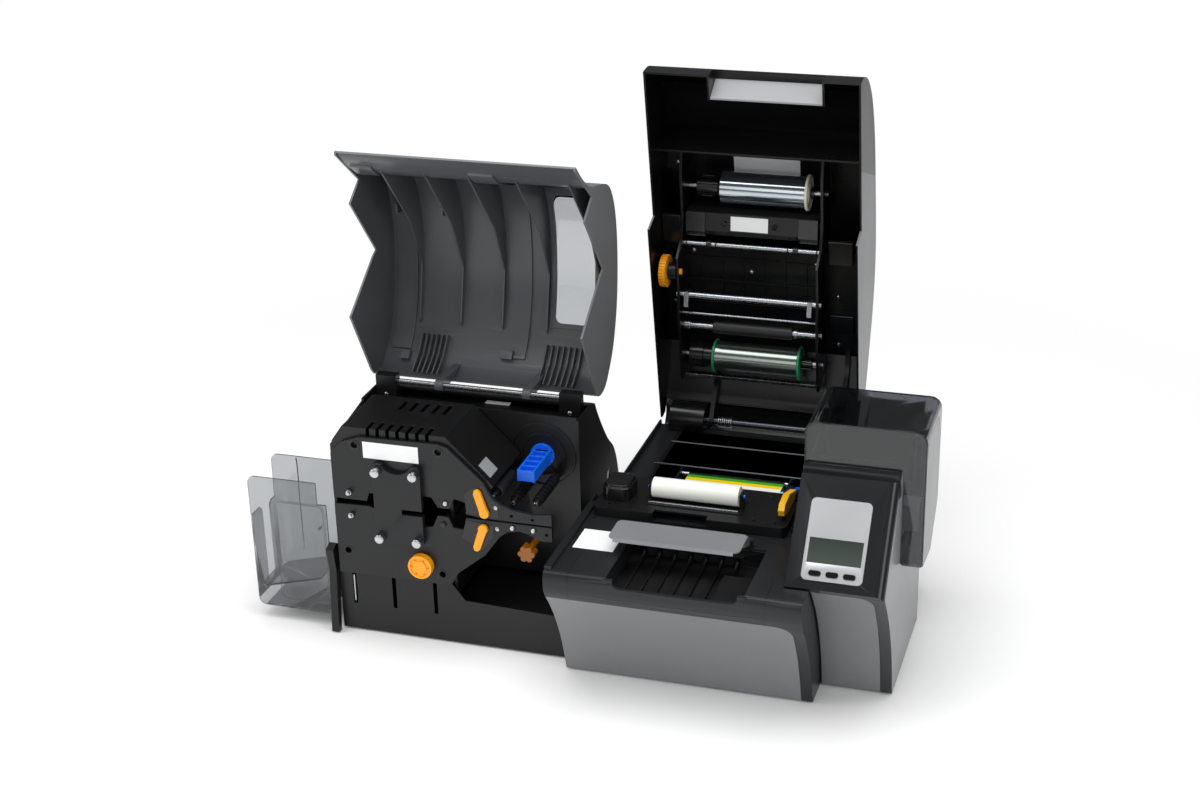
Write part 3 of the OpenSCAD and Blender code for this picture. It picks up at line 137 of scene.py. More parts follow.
def clearPlastic(name, color):
    # extruded or moulded polycarbonate sheet: tinted in the mass, with a hard polished skin
    material, tree, shader = newMaterial(name)
    coords = addNode(tree, "ShaderNodeTexCoord").outputs["Object"]
    ripple = addNode(tree, "ShaderNodeTexNoise", {
        "Vector": coords, "Scale": metre / sheet["ripple"], "Detail": 1.0})
    bump = addNode(tree, "ShaderNodeBump", {"Height": ripple.outputs["Fac"], "Strength": sheet["strength"],
                                            "Distance": sheet["depth"] * mm})
    tree.links.new(bump.outputs["Normal"], shader.inputs["Normal"])
    shader.inputs["Base Color"].default_value = toLinear(color)
    shader.inputs["Transmission Weight"].default_value = 1.0
    shader.inputs["IOR"].default_value = sheet["ior"]
    shader.inputs["Roughness"].default_value = sheet["rough"]
    return material


winding = {"pitch": 1.4, "length": 125, "depth": 0.03, "strength": 0.2, "metallic": 0.95}


def woundFilm(name, color, rough=0.12):
    # metallised polyester wound on a core: mirror bright, with the wound edges as faint lines
    material, tree, shader = newMaterial(name)
    coords = addNode(tree, "ShaderNodeTexCoord").outputs["Object"]
    along = metre / winding["length"]
    lines = addNode(tree, "ShaderNodeMapping", {
        "Vector": coords, "Scale": (metre / winding["pitch"], along, along)})
    noise = addNode(tree, "ShaderNodeTexNoise", {
        "Vector": lines.outputs["Vector"], "Scale": 1.0, "Detail": 2.0})
    bump = addNode(tree, "ShaderNodeBump", {"Height": noise.outputs["Fac"], "Strength": winding["strength"],
                                            "Distance": winding["depth"] * mm})
    tree.links.new(bump.outputs["Normal"], shader.inputs["Normal"])
    shader.inputs["Base Color"].default_value = toLinear(color)
    shader.inputs["Metallic"].default_value = winding["metallic"]
    shader.inputs["Roughness"].default_value = rough
    return material


ribbonLook = {
    "bands": [(0.0, "#f1f1ea"), (0.3, "#f2cf0a"), (0.56, "#3f9c24"), (0.8, "#12301c"), (0.92, "#0e0e10")],
    "y": (243, 279), "wave": 30, "depth": 0.4, "strength": 0.3, "rough": 0.18, "ior": 1.6,
}


def bandedRibbon(name):
    # dye ribbon: panels of colour one after another, glossy and very thin
    material, tree, shader = newMaterial(name)
    coords = addNode(tree, "ShaderNodeTexCoord").outputs["Object"]
    split = addNode(tree, "ShaderNodeSeparateXYZ", {"Vector": coords})
    start, end = ribbonLook["y"]
    along = addNode(tree, "ShaderNodeMapRange", {"Value": split.outputs["Y"], "From Min": (start - midY) * mm,
                                                 "From Max": (end - midY) * mm})
    ramp = addNode(tree, "ShaderNodeValToRGB", {"Fac": along.outputs["Result"]})
    ramp.color_ramp.interpolation = "CONSTANT"
    stops = ramp.color_ramp.elements
    for step, (spot, color) in enumerate(ribbonLook["bands"]):
        stop = stops[step] if step < 2 else stops.new(spot)  # a new ramp has two stops
        stop.position = spot
        stop.color = toLinear(color)
    tree.links.new(ramp.outputs["Color"], shader.inputs["Base Color"])
    wave = addNode(tree, "ShaderNodeTexNoise", {"Vector": coords, "Scale": metre / ribbonLook["wave"]})
    bump = addNode(tree, "ShaderNodeBump", {"Height": wave.outputs["Fac"], "Strength": ribbonLook["strength"],
                                            "Distance": ribbonLook["depth"] * mm})
    tree.links.new(bump.outputs["Normal"], shader.inputs["Normal"])
    shader.inputs["Roughness"].default_value = ribbonLook["rough"]
    shader.inputs["IOR"].default_value = ribbonLook["ior"]
    return material


displayLook = {"light": "#565f58", "dark": "#202422", "z": (225, 262), "shares": (0.62, 0.2),
               "rough": 0.12, "ior": 1.49}


def displayGlass(name):
    # liquid crystal behind acrylic: dull grey-green, darker to the top, under a polished skin
    material, tree, shader = newMaterial(name)
    coords = addNode(tree, "ShaderNodeTexCoord").outputs["Object"]
    split = addNode(tree, "ShaderNodeSeparateXYZ", {"Vector": coords})
    bottom, top = (z * mm for z in displayLook["z"])
    first, last = displayLook["shares"]
    share = addNode(tree, "ShaderNodeMapRange", {
        "Value": split.outputs["Z"], "From Min": bottom, "From Max": top, "To Min": first, "To Max": last})
    dark, light = toLinear(displayLook["dark"]), toLinear(displayLook["light"])
    tone = addNode(tree, "ShaderNodeMix", {"Factor": share.outputs["Result"], 6: dark, 7: light},
                   data_type="RGBA")
    tree.links.new(tone.outputs[2], shader.inputs["Base Color"])
    shader.inputs["Roughness"].default_value = displayLook["rough"]
    shader.inputs["IOR"].default_value = displayLook["ior"]
    return material


finish = {
    # painted and satin mouldings: an even grey, where a broad highlight fades slowly
    "greyPanel": mouldedPlastic("satin painted ABS, mid grey", "#727476", 0.38, grain=0.8, depth=0.2),
    "sideGrey": mouldedPlastic("satin painted ABS, pale grey", "#808284", 0.34, grain=0.8, depth=0.2),
    "lidGrey": mouldedPlastic("satin painted ABS, lid grey", "#6a6c6e", 0.36),
    "lidInner": mouldedPlastic("satin moulded ABS, graphite", "#515356", 0.32),
    "gripGrey": mouldedPlastic("satin painted ABS, grip grey", "#8f9193", 0.42, grain=0.8, depth=0.2),
    # paint with metal flakes: brighter where it faces the light, darker where it turns away
    "flapGrey": mouldedPlastic("satin painted ABS, flap grey", "#8c8e91", 0.34, grain=0.8, depth=0.2,
                               flake=0.3),
    "silverPaint": mouldedPlastic("silver painted ABS", "#c2c4c6", 0.32, grain=2.0, depth=0.03,
                                  shade=0.04, flake=0.5),
    "towerBezel": mouldedPlastic("metallic painted ABS, charcoal", "#232427", 0.24, grain=0.6, depth=0.12,
                                 coat=0.4, flake=0.35),
    # bare black mouldings and coated plate: deep black, with a sheen only along edges and curves
    "darkBezel": mouldedPlastic("satin moulded ABS, charcoal", "#1f2022", 0.32, sheen=0.35),
    "blackAbs": mouldedPlastic("textured moulded ABS, black", "#121213", 0.34, sheen=0.35),
    "lidBlack": mouldedPlastic("moulded ABS, deep black", "#0b0b0c", 0.30, depth=0.15, sheen=0.3),
    "blackGloss": mouldedPlastic("polished moulded ABS, black", "#101011", 0.20, depth=0.1),
    "blackPlate": mouldedPlastic("black e-coated steel plate", "#17181a", 0.32, grain=1.6, depth=0.3,
                                 sheen=0.35),
    # bare steel: bright streaks along rods, rings of light on screw heads
    "zinc": machinedMetal("bright zinc plated steel", "#b9bcc0", 0.26),
    "zincY": machinedMetal("turned zinc plated steel", "#c3c5c8", 0.26, axis=1),
    "darkSteel": machinedMetal("oiled dark steel", "#56585b", 0.3),
    # rubber: matt, with no sharp highlight
    "whiteRubber": mouldedPlastic("white silicone rubber", "#ecece6", 0.55, grain=2.2),
    "blackRubber": mouldedPlastic("black nitrile rubber", "#202022", 0.5, grain=1.8),
    # wound and stretched film: mirror streaks round the spools, bands of dye on the ribbon
    "film": woundFilm("metallised polyester film, wound", "#b9c2c8"),
    "greyFilm": woundFilm("clear coated film, wound", "#9aa39c", rough=0.2),
    "blueFilm": woundFilm("used ribbon film, wound", "#5f8bb0", rough=0.2),
    "ribbon": bandedRibbon("dye ribbon film"),
    # coloured levers and knobs: strong even colour with a waxy shine
    "orange": mouldedPlastic("moulded acetal, orange", "#f5a204", 0.30, shade=0.04),
    "yellow": mouldedPlastic("moulded acetal, yellow", "#f2b705", 0.30, shade=0.04),
    "blue": mouldedPlastic("moulded acetal, blue", "#0b63e0", 0.28, shade=0.04),
    "green": mouldedPlastic("moulded acetal, green", "#1c8a55", 0.30, shade=0.04),
    "amber": mouldedPlastic("moulded polyamide, amber", "#b56c0c", 0.22, shade=0.06),
    # clear parts: grey see-through walls that darken where two lie one behind the other
    "lcd": displayGlass("liquid crystal display behind acrylic"),
    "smoke": clearPlastic("smoked polycarbonate", "#a2a6aa"),
    "hopperSmoke": clearPlastic("grey tinted polycarbonate", "#b0b3b6"),
    "paleSmoke": clearPlastic("pale smoked polycarbonate", "#c3c6c9"),
    # pale mouldings and stickers: flat and light, with hardly any grain
    "pale": mouldedPlastic("moulded ABS, pale grey", "#d4d7d9", 0.4),
    "cream": mouldedPlastic("moulded ABS, cream", "#dcd8c4", 0.35, shade=0.04),
    "label": mouldedPlastic("coated label paper", "#eff0f0", 0.45, depth=0.05, shade=0.02),
    "greyLabel": mouldedPlastic("matt label film, grey", "#8d9192", 0.4, depth=0.05, shade=0.04),
}
print("materials:", len(finish))


# carried-over pieces: their meshes are copied, welded, rounded and finished
smoothAngle = 32
edging = {"weld": 2e-6, "flat": 0.6, "segments": 2, "angle": 30}


def shadeByAngle(mesh):
    mesh.shade_smooth()
    mesh.set_sharp_from_angle(angle=math.radians(smoothAngle))


def place(name, mesh, body, material):
    # links a finished mesh as a piece of that body
    shape = bpy.data.objects.new(name, mesh)
    bpy.context.scene.collection.objects.link(shape)
    mesh.materials.clear()
    mesh.materials.append(finish[material])
    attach(shape, body)
    return shape


def soften(mesh, radius, cut=None):
    # rounds the edges as a mould or a deburring wheel leaves them;
    # a cut, as a point and a normal, leaves an edge loop where the finish can change
    work = bmesh.new()
    work.from_mesh(mesh)
    bmesh.ops.remove_doubles(work, verts=work.verts, dist=edging["weld"])
    flat = math.radians(edging["flat"])
    bmesh.ops.dissolve_limit(work, angle_limit=flat, verts=work.verts, edges=work.edges)
    if cut:
        parts = work.verts[:] + work.edges[:] + work.faces[:]
        bmesh.ops.bisect_plane(work, geom=parts, dist=edging["weld"] / 2, plane_co=cut[0], plane_no=cut[1])
    fresh = bpy.data.meshes.new(mesh.name + "_soft")
    work.to_mesh(fresh)
    work.free()
    shadeByAngle(fresh)
    holder = bpy.data.objects.new("holder", fresh)
    bpy.context.scene.collection.objects.link(holder)
    bevel = holder.modifiers.new("edge", "BEVEL")
    bevel.width = radius * mm
    bevel.segments = edging["segments"]
    bevel.limit_method = "ANGLE"
    bevel.angle_limit = math.radians(edging["angle"])
    bevel.use_clamp_overlap = True
    bevel.miter_outer = "MITER_ARC"
    bevel.harden_normals = True
    view = bpy.context.evaluated_depsgraph_get()
    done = bpy.data.meshes.new_from_object(holder.evaluated_get(view))
    bpy.data.objects.remove(holder)
    return done


bodyOf = {n: b for b, ns in frame["record"]["behaviour"]["bodies"].items() for n in ns}


def finishNode(node, material, radius, cut=None):
    mesh = soften(frame["nodes"][node].data, radius, cut=cut)
    shape = place(node + "_finished", mesh, bodyOf[node], material)
    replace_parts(shape, node)
    return shape


# places: the hinge line of each cover and how far it is raised
onBody = Matrix.Scale(mm, 4) @ Matrix.Translation((-midX, -midY, 0))
covers = {"printer": {"y": 504, "z": 178, "angle": 80}, "laminator": {"y": 200, "z": 331, "angle": 120}}


def raised(cover):
    # from the closed place of a cover, in millimetres, to its raised place in the frame
    turn = Matrix.Rotation(math.radians(-cover["angle"]), 4, "X")
    hinge = Vector((0, cover["y"], cover["z"]))
    return onBody @ Matrix.Translation(hinge) @ turn @ Matrix.Translation(-hinge)


onLid = raised(covers["printer"])
onLamLid = raised(covers["laminator"])


# shapes in millimetres
def addBox(work, low, high):
    size = [h - l for l, h in zip(low, high)]
    centre = Vector([(h + l) / 2 for l, h in zip(low, high)])
    bmesh.ops.create_cube(work, size=1, matrix=Matrix.Translation(centre) @ Matrix.Diagonal((*size, 1)))


def onAxis(axis, along, first, second):
    return {"x": (along, first, second), "y": (first, along, second), "z": (first, second, along)}[axis]


def addRings(work, axis, centre, profile, sides):
    # profile: (distance along the axis, radius) from one end to the other
    turns = [2 * math.pi * k / sides for k in range(sides)]
    rings = []
    for along, radius in profile:
        spots = [(centre[0] + radius * math.cos(t), centre[1] + radius * math.sin(t)) for t in turns]
        rings.append([work.verts.new(onAxis(axis, along, *spot)) for spot in spots])
    return rings


def joinRings(work, near, far):
    for k in range(len(near)):
        nxt = (k + 1) % len(near)
        work.faces.new((near[k], near[nxt], far[nxt], far[k]))


def addLathe(work, axis, centre, profile, sides=56):
    rings = addRings(work, axis, centre, profile, sides)
    for near, far in zip(rings, rings[1:]):
        joinRings(work, near, far)
    work.faces.new(rings[0])
    work.faces.new(rings[-1])


def addTube(work, axis, centre, profile, sides=40):
    # a ring: the profile closes on itself and never reaches the axis
    rings = addRings(work, axis, centre, profile, sides)
    for near, far in zip(rings, rings[1:] + rings[:1]):
        joinRings(work, near, far)


def addRod(work, axis, start, end, centre, radius, edge=0.4, sides=40):
    profile = [(start, radius - edge), (start + edge, radius), (end - edge, radius), (end, radius - edge)]
    addLathe(work, axis, centre, profile, sides)


def addPrism(work, axis, start, end, outline):
    near = [work.verts.new(onAxis(axis, start, *p)) for p in outline]
    far = [work.verts.new(onAxis(axis, end, *p)) for p in outline]
    joinRings(work, near, far)
    work.faces.new(near)
    work.faces.new(far)


def finished(name, mesh, body, material, radius):
    if radius:
        mesh = soften(mesh, radius)
    else:
        shadeByAngle(mesh)
    return place(name, mesh, body, material)


def piece(name, body, material, where, build, radius=0.0):
    work = bmesh.new()
    build(work)
    bmesh.ops.recalc_face_normals(work, faces=work.faces)
    bmesh.ops.transform(work, matrix=where, verts=work.verts)
    mesh = bpy.data.meshes.new(name)
    work.to_mesh(mesh)
    work.free()
    return finished(name, mesh, body, material, radius)


# rows and rings of copies
def newTree(name, sockets):
    tree = bpy.data.node_groups.new(name, "GeometryNodeTree")
    for label, kind in sockets:
        tree.interface.new_socket(label, in_out="INPUT", socket_type="NodeSocket" + kind)
    tree.interface.new_socket("Geometry", in_out="OUTPUT", socket_type="NodeSocketGeometry")
    return tree, addNode(tree, "NodeGroupInput").outputs, addNode(tree, "NodeGroupOutput")


def rowOfBars():
    # equal bars, one step apart
    tree, given, sink = newTree("rowOfBars", [("Count", "Int"), ("First", "Vector"), ("Step", "Vector"),
                                              ("Size", "Vector"), ("Material", "Material")])
    line = addNode(tree, "GeometryNodeMeshLine", {
        "Count": given["Count"], "Start Location": given["First"], "Offset": given["Step"]})
    bar = addNode(tree, "GeometryNodeMeshCube", {"Size": given["Size"]})
    copies = addNode(tree, "GeometryNodeInstanceOnPoints", {
        "Points": line.outputs["Mesh"], "Instance": bar.outputs["Mesh"]})
    real = addNode(tree, "GeometryNodeRealizeInstances", {"Geometry": copies.outputs["Instances"]})
    painted = addNode(tree, "GeometryNodeSetMaterial", {
        "Geometry": real.outputs["Geometry"], "Material": given["Material"]})
    tree.links.new(painted.outputs["Geometry"], sink.inputs["Geometry"])
    return tree


def ringOfTeeth():
    # equal teeth round the Z axis, each turned to face outwards, then the ring is turned and moved
    tree, given, sink = newTree("ringOfTeeth", [("Count", "Int"), ("Radius", "Float"), ("Size", "Vector"),
                                                ("Turn", "Vector"), ("Centre", "Vector"),
                                                ("Material", "Material")])
    ring = addNode(tree, "GeometryNodeMeshCircle", {"Vertices": given["Count"], "Radius": given["Radius"]})
    spot = addNode(tree, "GeometryNodeInputPosition")
    facing = addNode(tree, "FunctionNodeAlignRotationToVector", {"Vector": spot.outputs["Position"]},
                     axis="X", pivot_axis="Z")
    tooth = addNode(tree, "GeometryNodeMeshCube", {"Size": given["Size"]})
    copies = addNode(tree, "GeometryNodeInstanceOnPoints", {
        "Points": ring.outputs["Mesh"], "Instance": tooth.outputs["Mesh"],
        "Rotation": facing.outputs["Rotation"]})
    real = addNode(tree, "GeometryNodeRealizeInstances", {"Geometry": copies.outputs["Instances"]})
    moved = addNode(tree, "GeometryNodeTransform", {
        "Geometry": real.outputs["Geometry"], "Translation": given["Centre"], "Rotation": given["Turn"]})
    painted = addNode(tree, "GeometryNodeSetMaterial", {
        "Geometry": moved.outputs["Geometry"], "Material": given["Material"]})
    tree.links.new(painted.outputs["Geometry"], sink.inputs["Geometry"])
    return tree


trees = {"row": rowOfBars(), "ring": ringOfTeeth()}


def grown(name, body, material, where, tree, sizes, radius=0.0):
    # runs a tree once, keeps the result as a plain mesh and moves it to its place
    holder = bpy.data.objects.new("holder", bpy.data.meshes.new("holder"))
    bpy.context.scene.collection.objects.link(holder)
    modifier = holder.modifiers.new("grow", "NODES")
    modifier.node_group = trees[tree]
    values = {**sizes, "Material": finish[material]}
    for item in trees[tree].interface.items_tree:
        if item.in_out == "INPUT":
            modifier[item.identifier] = values[item.name]
    view = bpy.context.evaluated_depsgraph_get()
    mesh = bpy.data.meshes.new_from_object(holder.evaluated_get(view))
    bpy.data.objects.remove(holder)
    mesh.transform(where)
    return finished(name, mesh, body, material, radius)


def paintFaces(shape, material, where, test):
    # gives another finish to the faces that pass the test, which works in millimetres with the covers closed
    back = where.inverted()
    turn = back.to_3x3().normalized()
    shape.data.materials.append(finish[material])
    for face in shape.data.polygons:
        if test(back @ face.center, turn @ face.normal):
            face.material_index = len(shape.data.materials) - 1


print("kit ready")


# each node's finish and the radius of its edges
plainFinish = {
    "centre_housing": ("darkBezel", 0.5), "base_pan": ("blackAbs", 0.4), "well_frame": ("blackAbs", 0.5),
    "feet": ("blackRubber", 0.6), "front_panel": ("greyPanel", 0.8), "front_bezel": ("darkBezel", 1.2),
    "exit_tray": ("blackAbs", 0.5), "exit_flap": ("flapGrey", 0.6), "deck_plate": ("blackAbs", 1.2),
    "latch_block": ("blackGloss", 1.4), "metal_fittings": ("zinc", 0.2),
    "cleaning_carrier": ("blackAbs", 0.4), "ribbon_film": ("ribbon", 0.1),
    "release_lever": ("yellow", 0.8), "hinge_shaft": ("darkSteel", 0.4), "hinge_drum": ("blackGloss", 0.8),
    "tower_front_panel": ("greyPanel", 0.8), "control_bezel": ("towerBezel", 1.2),
    "display_plate": ("silverPaint", 0.6), "display_window": ("lcd", 0.3),
    "button_left": ("blackGloss", 0.6), "button_middle": ("blackGloss", 0.6),
    "button_right": ("blackGloss", 0.6),
    "feeder_tray": ("blackAbs", 0.5), "feeder_cover": ("smoke", 0.8), "feeder_side_cover": ("sideGrey", 0.8),
    "card_weight": ("pale", 0.8), "lid_liner": ("lidBlack", 0.5), "lid_grip_panel": ("gripGrey", 0.4),
    "pressure_block": ("blackAbs", 0.8), "lid_rods": ("zinc", 0.3), "lid_thumbwheel": ("orange", 0.3),
    "cam_bar": ("zinc", 0.5), "laminator_base": ("blackAbs", 0.8), "laminator_chassis": ("blackAbs", 0.8),
    "upper_plate": ("blackPlate", 0.4), "lower_plate": ("blackPlate", 0.4), "vented_cover": ("blackAbs", 0.8),
    "heater_cover": ("blackPlate", 0.8), "upper_lever": ("orange", 0.6), "lower_lever": ("orange", 0.6),
    "drive_knob": ("orange", 0.6), "feed_roller": ("blackRubber", 0.4), "film_idlers": ("blackAbs", 0.3),
    "supply_hub": ("blue", 0.8), "takeup_hub": ("amber", 0.8), "laminator_lid_window": ("paleSmoke", 0.3),
    "lid_hinge_rod": ("zinc", 0.4), "output_hopper": ("hopperSmoke", 0.4), "hopper_arm": ("blackAbs", 0.8),
}
for node, (material, radius) in plainFinish.items():
    finishNode(node, material, radius)
print("plain pieces:", len(plainFinish))


# covers with two finishes: paint outside, bare moulding inside
shell = {"x": (10, 330), "middle": Vector((0, 250, 200)), "skin": 0.6, "edge": 0.8}


def insideShell(at, normal):
    # the paint is on the outside only; the inside and the rim stay black
    left, right = shell["x"]
    if abs(normal.x) > 0.7:
        return left + shell["skin"] <= at.x <= right - shell["skin"]
    outward = Vector((0, at.y - shell["middle"].y, at.z - shell["middle"].z)).normalized()
    return normal.z < -0.6 or normal.dot(outward) < 0.1


# the front end of the cover is a charcoal visor, parted from the grey on a slant
visor = {"on": Vector((0, 57, 200)), "back": Vector((0, 130, -73)).normalized()}


def onVisor(at, normal):
    return (at - visor["on"]).dot(visor["back"]) < 0 and not insideShell(at, normal)


visorCut = (onLid @ visor["on"], (onLid.to_3x3() @ visor["back"]).normalized())
lidShell = finishNode("lid_shell", "lidGrey", shell["edge"], cut=visorCut)
paintFaces(lidShell, "lidBlack", onLid, insideShell)
paintFaces(lidShell, "darkBezel", onLid, onVisor)

lamCover = {"x": (-360, -5), "middle": Vector((0, 30, 220)), "skin": 0.6, "rim": 3.5, "edge": 0.5}


def insideLamLid(at, normal):
    left, right = lamCover["x"]
    if abs(normal.x) > 0.7:
        return left + lamCover["skin"] < at.x < right - lamCover["skin"]
    if at.x < left + lamCover["rim"] or at.x > right - lamCover["rim"]:
        return False
    outward = Vector((0, at.y - lamCover["middle"].y, at.z - lamCover["middle"].z)).normalized()
    return normal.dot(outward) < 0.3


lamLid = finishNode("laminator_lid", "lidGrey", lamCover["edge"])
paintFaces(lamLid, "lidInner", onLamLid, insideLamLid)

# the tower is charcoal all round, but its right side carries the pale paint
tower = {"edge": 0.8, "paintedBeyond": 463}


def onTowerSide(at, normal):
    return normal.x > 0.9 and at.x > tower["paintedBeyond"]


towerHousing = finishNode("tower_housing", "darkBezel", tower["edge"])
paintFaces(towerHousing, "sideGrey", onBody, onTowerSide)
print("painted covers ready")


# printer cover: windings, flanges, hubs and spindles of the film spools, and the transfer roller
lidSpindle = {"x": (41, 268), "radius": 4.98}


def spindleAt(spot):
    return lambda work: addRod(work, "x", *lidSpindle["x"], spot, lidSpindle["radius"])


supplySpool = {
    "at": (137, 275),
    "film": [(100.8, 12), (101, 17), (103.6, 19), (104, 23.8), (104.6, 25), (234.8, 25), (235, 24.4)],
    "flange": [(235, 25), (235.4, 27.5), (236, 28), (238.6, 28), (239.4, 27.2), (239.4, 23), (237.6, 22),
               (237.6, 15), (240, 14), (240.6, 9)],
    "hub": [(66, 12), (66, 15.2), (66.8, 16), (70, 16), (70.5, 15), (90, 15), (90.5, 16), (99, 16),
            (100, 15.2), (100, 10)],
    "cap": {"x": (241, 246.5), "radius": 9},
}


def supplyFilm(work):
    addLathe(work, "x", supplySpool["at"], supplySpool["film"])


def supplyFlange(work):
    addLathe(work, "x", supplySpool["at"], supplySpool["flange"])


def supplyHub(work):
    addLathe(work, "x", supplySpool["at"], supplySpool["hub"])
    addRod(work, "x", *supplySpool["cap"]["x"], supplySpool["at"], supplySpool["cap"]["radius"])


hubRibs = {"Count": 12, "Radius": 15.1, "Size": (1.4, 2.2, 18), "Turn": (0, math.pi / 2, 0),
           "Centre": (81, *supplySpool["at"])}
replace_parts(piece("supply_film", "film_supply", "film", onLid, supplyFilm),
            "film_supply_spool")
piece("supply_flange", "film_supply", "cream", onLid, supplyFlange)
piece("supply_hub_black", "film_supply", "blackGloss", onLid, supplyHub)
piece("supply_spindle", "film_supply", "zinc", onLid, spindleAt(supplySpool["at"]))
grown("supply_hub_ribs", "film_supply", "blackGloss", onLid, "ring", hubRibs)

takeupSpool = {
    "at": (405, 216),
    "film": [(98, 23.5), (98.5, 24), (228.5, 24), (229, 23.5)],
    "flange": [(0, 22), (0.3, 26.3), (1, 27), (3, 27), (3.7, 26.3), (4, 22)],
    "flangesFrom": (94, 229),
    "nearHub": [(56, 9), (56, 17), (57, 20), (78, 20), (79, 18), (92, 18), (94, 12)],
    "farHub": [(233, 10), (235, 9), (250, 9), (251, 8)],
}


def takeupFilm(work):
    addLathe(work, "x", takeupSpool["at"], takeupSpool["film"])


def takeupFlanges(work):
    for near in takeupSpool["flangesFrom"]:
        profile = [(near + along, radius) for along, radius in takeupSpool["flange"]]
        addLathe(work, "x", takeupSpool["at"], profile)


def takeupHubs(work):
    addLathe(work, "x", takeupSpool["at"], takeupSpool["nearHub"])
    addLathe(work, "x", takeupSpool["at"], takeupSpool["farHub"])


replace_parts(piece("takeup_film", "film_takeup", "greyFilm", onLid, takeupFilm),
            "film_takeup_spool")
piece("takeup_flanges", "film_takeup", "green", onLid, takeupFlanges)
piece("takeup_hubs", "film_takeup", "blackGloss", onLid, takeupHubs)
piece("takeup_spindle", "film_takeup", "zinc", onLid, spindleAt(takeupSpool["at"]))

transfer = {"at": (347, 208), "rubber": (97, 222), "radius": 10, "edge": 0.8,
            "collars": [(51, 60), (224, 230)], "collarRadius": 7}


def transferRubber(work):
    addRod(work, "x", *transfer["rubber"], transfer["at"], transfer["radius"], edge=transfer["edge"])


def transferSpindle(work):
    spindleAt(transfer["at"])(work)
    for start, end in transfer["collars"]:
        addRod(work, "x", start, end, transfer["at"], transfer["collarRadius"])


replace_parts(piece("transfer_sleeve", "transfer_roller", "blackRubber", onLid, transferRubber),
            "transfer_roller")
piece("transfer_spindle", "transfer_roller", "zinc", onLid, transferSpindle)

thumbSleeve = {"x": (31, 43.4), "at": (252, 206), "radius": 13}
piece("thumbwheel_sleeve", "thumbwheel", "blackAbs", onLid,
      lambda work: addRod(work, "x", *thumbSleeve["x"], thumbSleeve["at"], thumbSleeve["radius"]))

# blank stickers inside the printer cover
lidLabels = {
    "sheet": {"x": (113, 216), "outline": [(104, 312.8), (150, 314.9), (150, 315.6), (104, 313.5)]},
    "strip": {"x": (122, 180), "outline": [(171, 244.9), (193, 240.2), (193, 240.8), (171, 245.5)]},
}


def labelOf(spec):
    return lambda work: addPrism(work, "x", *spec["x"], spec["outline"])


piece("lid_label_sheet", "printer_lid", "label", onLid, labelOf(lidLabels["sheet"]))
piece("lid_label_strip", "printer_lid", "label", onLid, labelOf(lidLabels["strip"]))

# screw heads: each profile is counted from the face that the head sits on
smallSides = 28
lidScrews = {
    "profile": [(-1.6, 1.2), (-1.2, 2.6), (-0.5, 3.2), (0.05, 3.2)],
    "spots": [(60, 236, 249), (252, 246, 249), (150, 268, 249), (285, 300, 249), (25, 330, 249),
              (60, 372, 249), (285, 385, 249), (30, 80, 292), (30, 108, 292)],
}


def addScrews(work, spec):
    for x, y, z in spec["spots"]:
        profile = [(z + along, radius) for along, radius in spec["profile"]]
        addLathe(work, "z", (x, y), profile, sides=smallSides)


piece("lid_screws", "printer_lid", "zinc", onLid, lambda work: addScrews(work, lidScrews))

# moulded ribs on the floor of the cover
lidRibs = {
    "edge": 0.3,
    "long": {"Count": 6, "First": (72, 306, 248.2), "Step": (33, 0, 0), "Size": (2, 136, 2)},
    "cross": {"Count": 4, "First": (154, 246, 248.2), "Step": (0, 40, 0), "Size": (206, 2, 2.4)},
}
grown("lid_tray_ribs", "printer_lid", "lidBlack", onLid, "row", lidRibs["long"],
      radius=lidRibs["edge"])
grown("lid_cross_ribs", "printer_lid", "lidBlack", onLid, "row", lidRibs["cross"],
      radius=lidRibs["edge"])

# the clamp end plates lie on the face of the pressure block, with a boss beside the label at each side
clampPlates = {
    "x": [(52, 82), (227, 257)], "edge": 0.5,
    "outline": [(168, 246), (196, 240), (204, 243), (206, 259), (208.5, 259), (206.6, 241.2), (197, 237.4),
                (167.3, 243.6)],
}
clampBosses = {
    "spots": [(112, 183), (190, 183)], "sides": 36,
    "profile": [(241.2, 1.8), (240.8, 2.4), (239.6, 2.6), (239.6, 3.9), (240.1, 4.4), (244, 4.4)],
}


def clampPieces(work):
    for start, end in clampPlates["x"]:
        addPrism(work, "x", start, end, clampPlates["outline"])


def clampBossRings(work):
    for spot in clampBosses["spots"]:
        addLathe(work, "z", spot, clampBosses["profile"], sides=clampBosses["sides"])


piece("clamp_plates", "printer_lid", "blackGloss", onLid, clampPieces,
      radius=clampPlates["edge"])
piece("clamp_bosses", "printer_lid", "blackGloss", onLid, clampBossRings)

# collars and clips on the rod in front of the pressure block
rodCollars = {
    "at": (218, 238),
    "collars": {"radius": 6.4, "x": [(84, 92), (219, 227)]},
    "clips": {"radius": 5.6, "x": [(52, 54), (98, 100), (210, 212), (255, 257)]},
}


def collarRings(work):
    for kind in ("collars", "clips"):
        for start, end in rodCollars[kind]["x"]:
            addRod(work, "x", start, end, rodCollars["at"], rodCollars[kind]["radius"])


piece("rod_collars", "printer_lid", "blackGloss", onLid, collarRings)

# moulded ledges beside the two frames carry the lock hooks
ledges = {"edge": 1.2, "boxes": [((14, 174, 241), (43, 222, 249.4)), ((272, 200, 241), (310, 240, 249.4)),
                                 ((272, 330, 243), (310, 362, 249.4))]}


def ledgeBlocks(work):
    for low, high in ledges["boxes"]:
        addBox(work, low, high)


piece("lid_ledges", "printer_lid", "blackGloss", onLid, ledgeBlocks, radius=ledges["edge"])
print("printer lid ready")


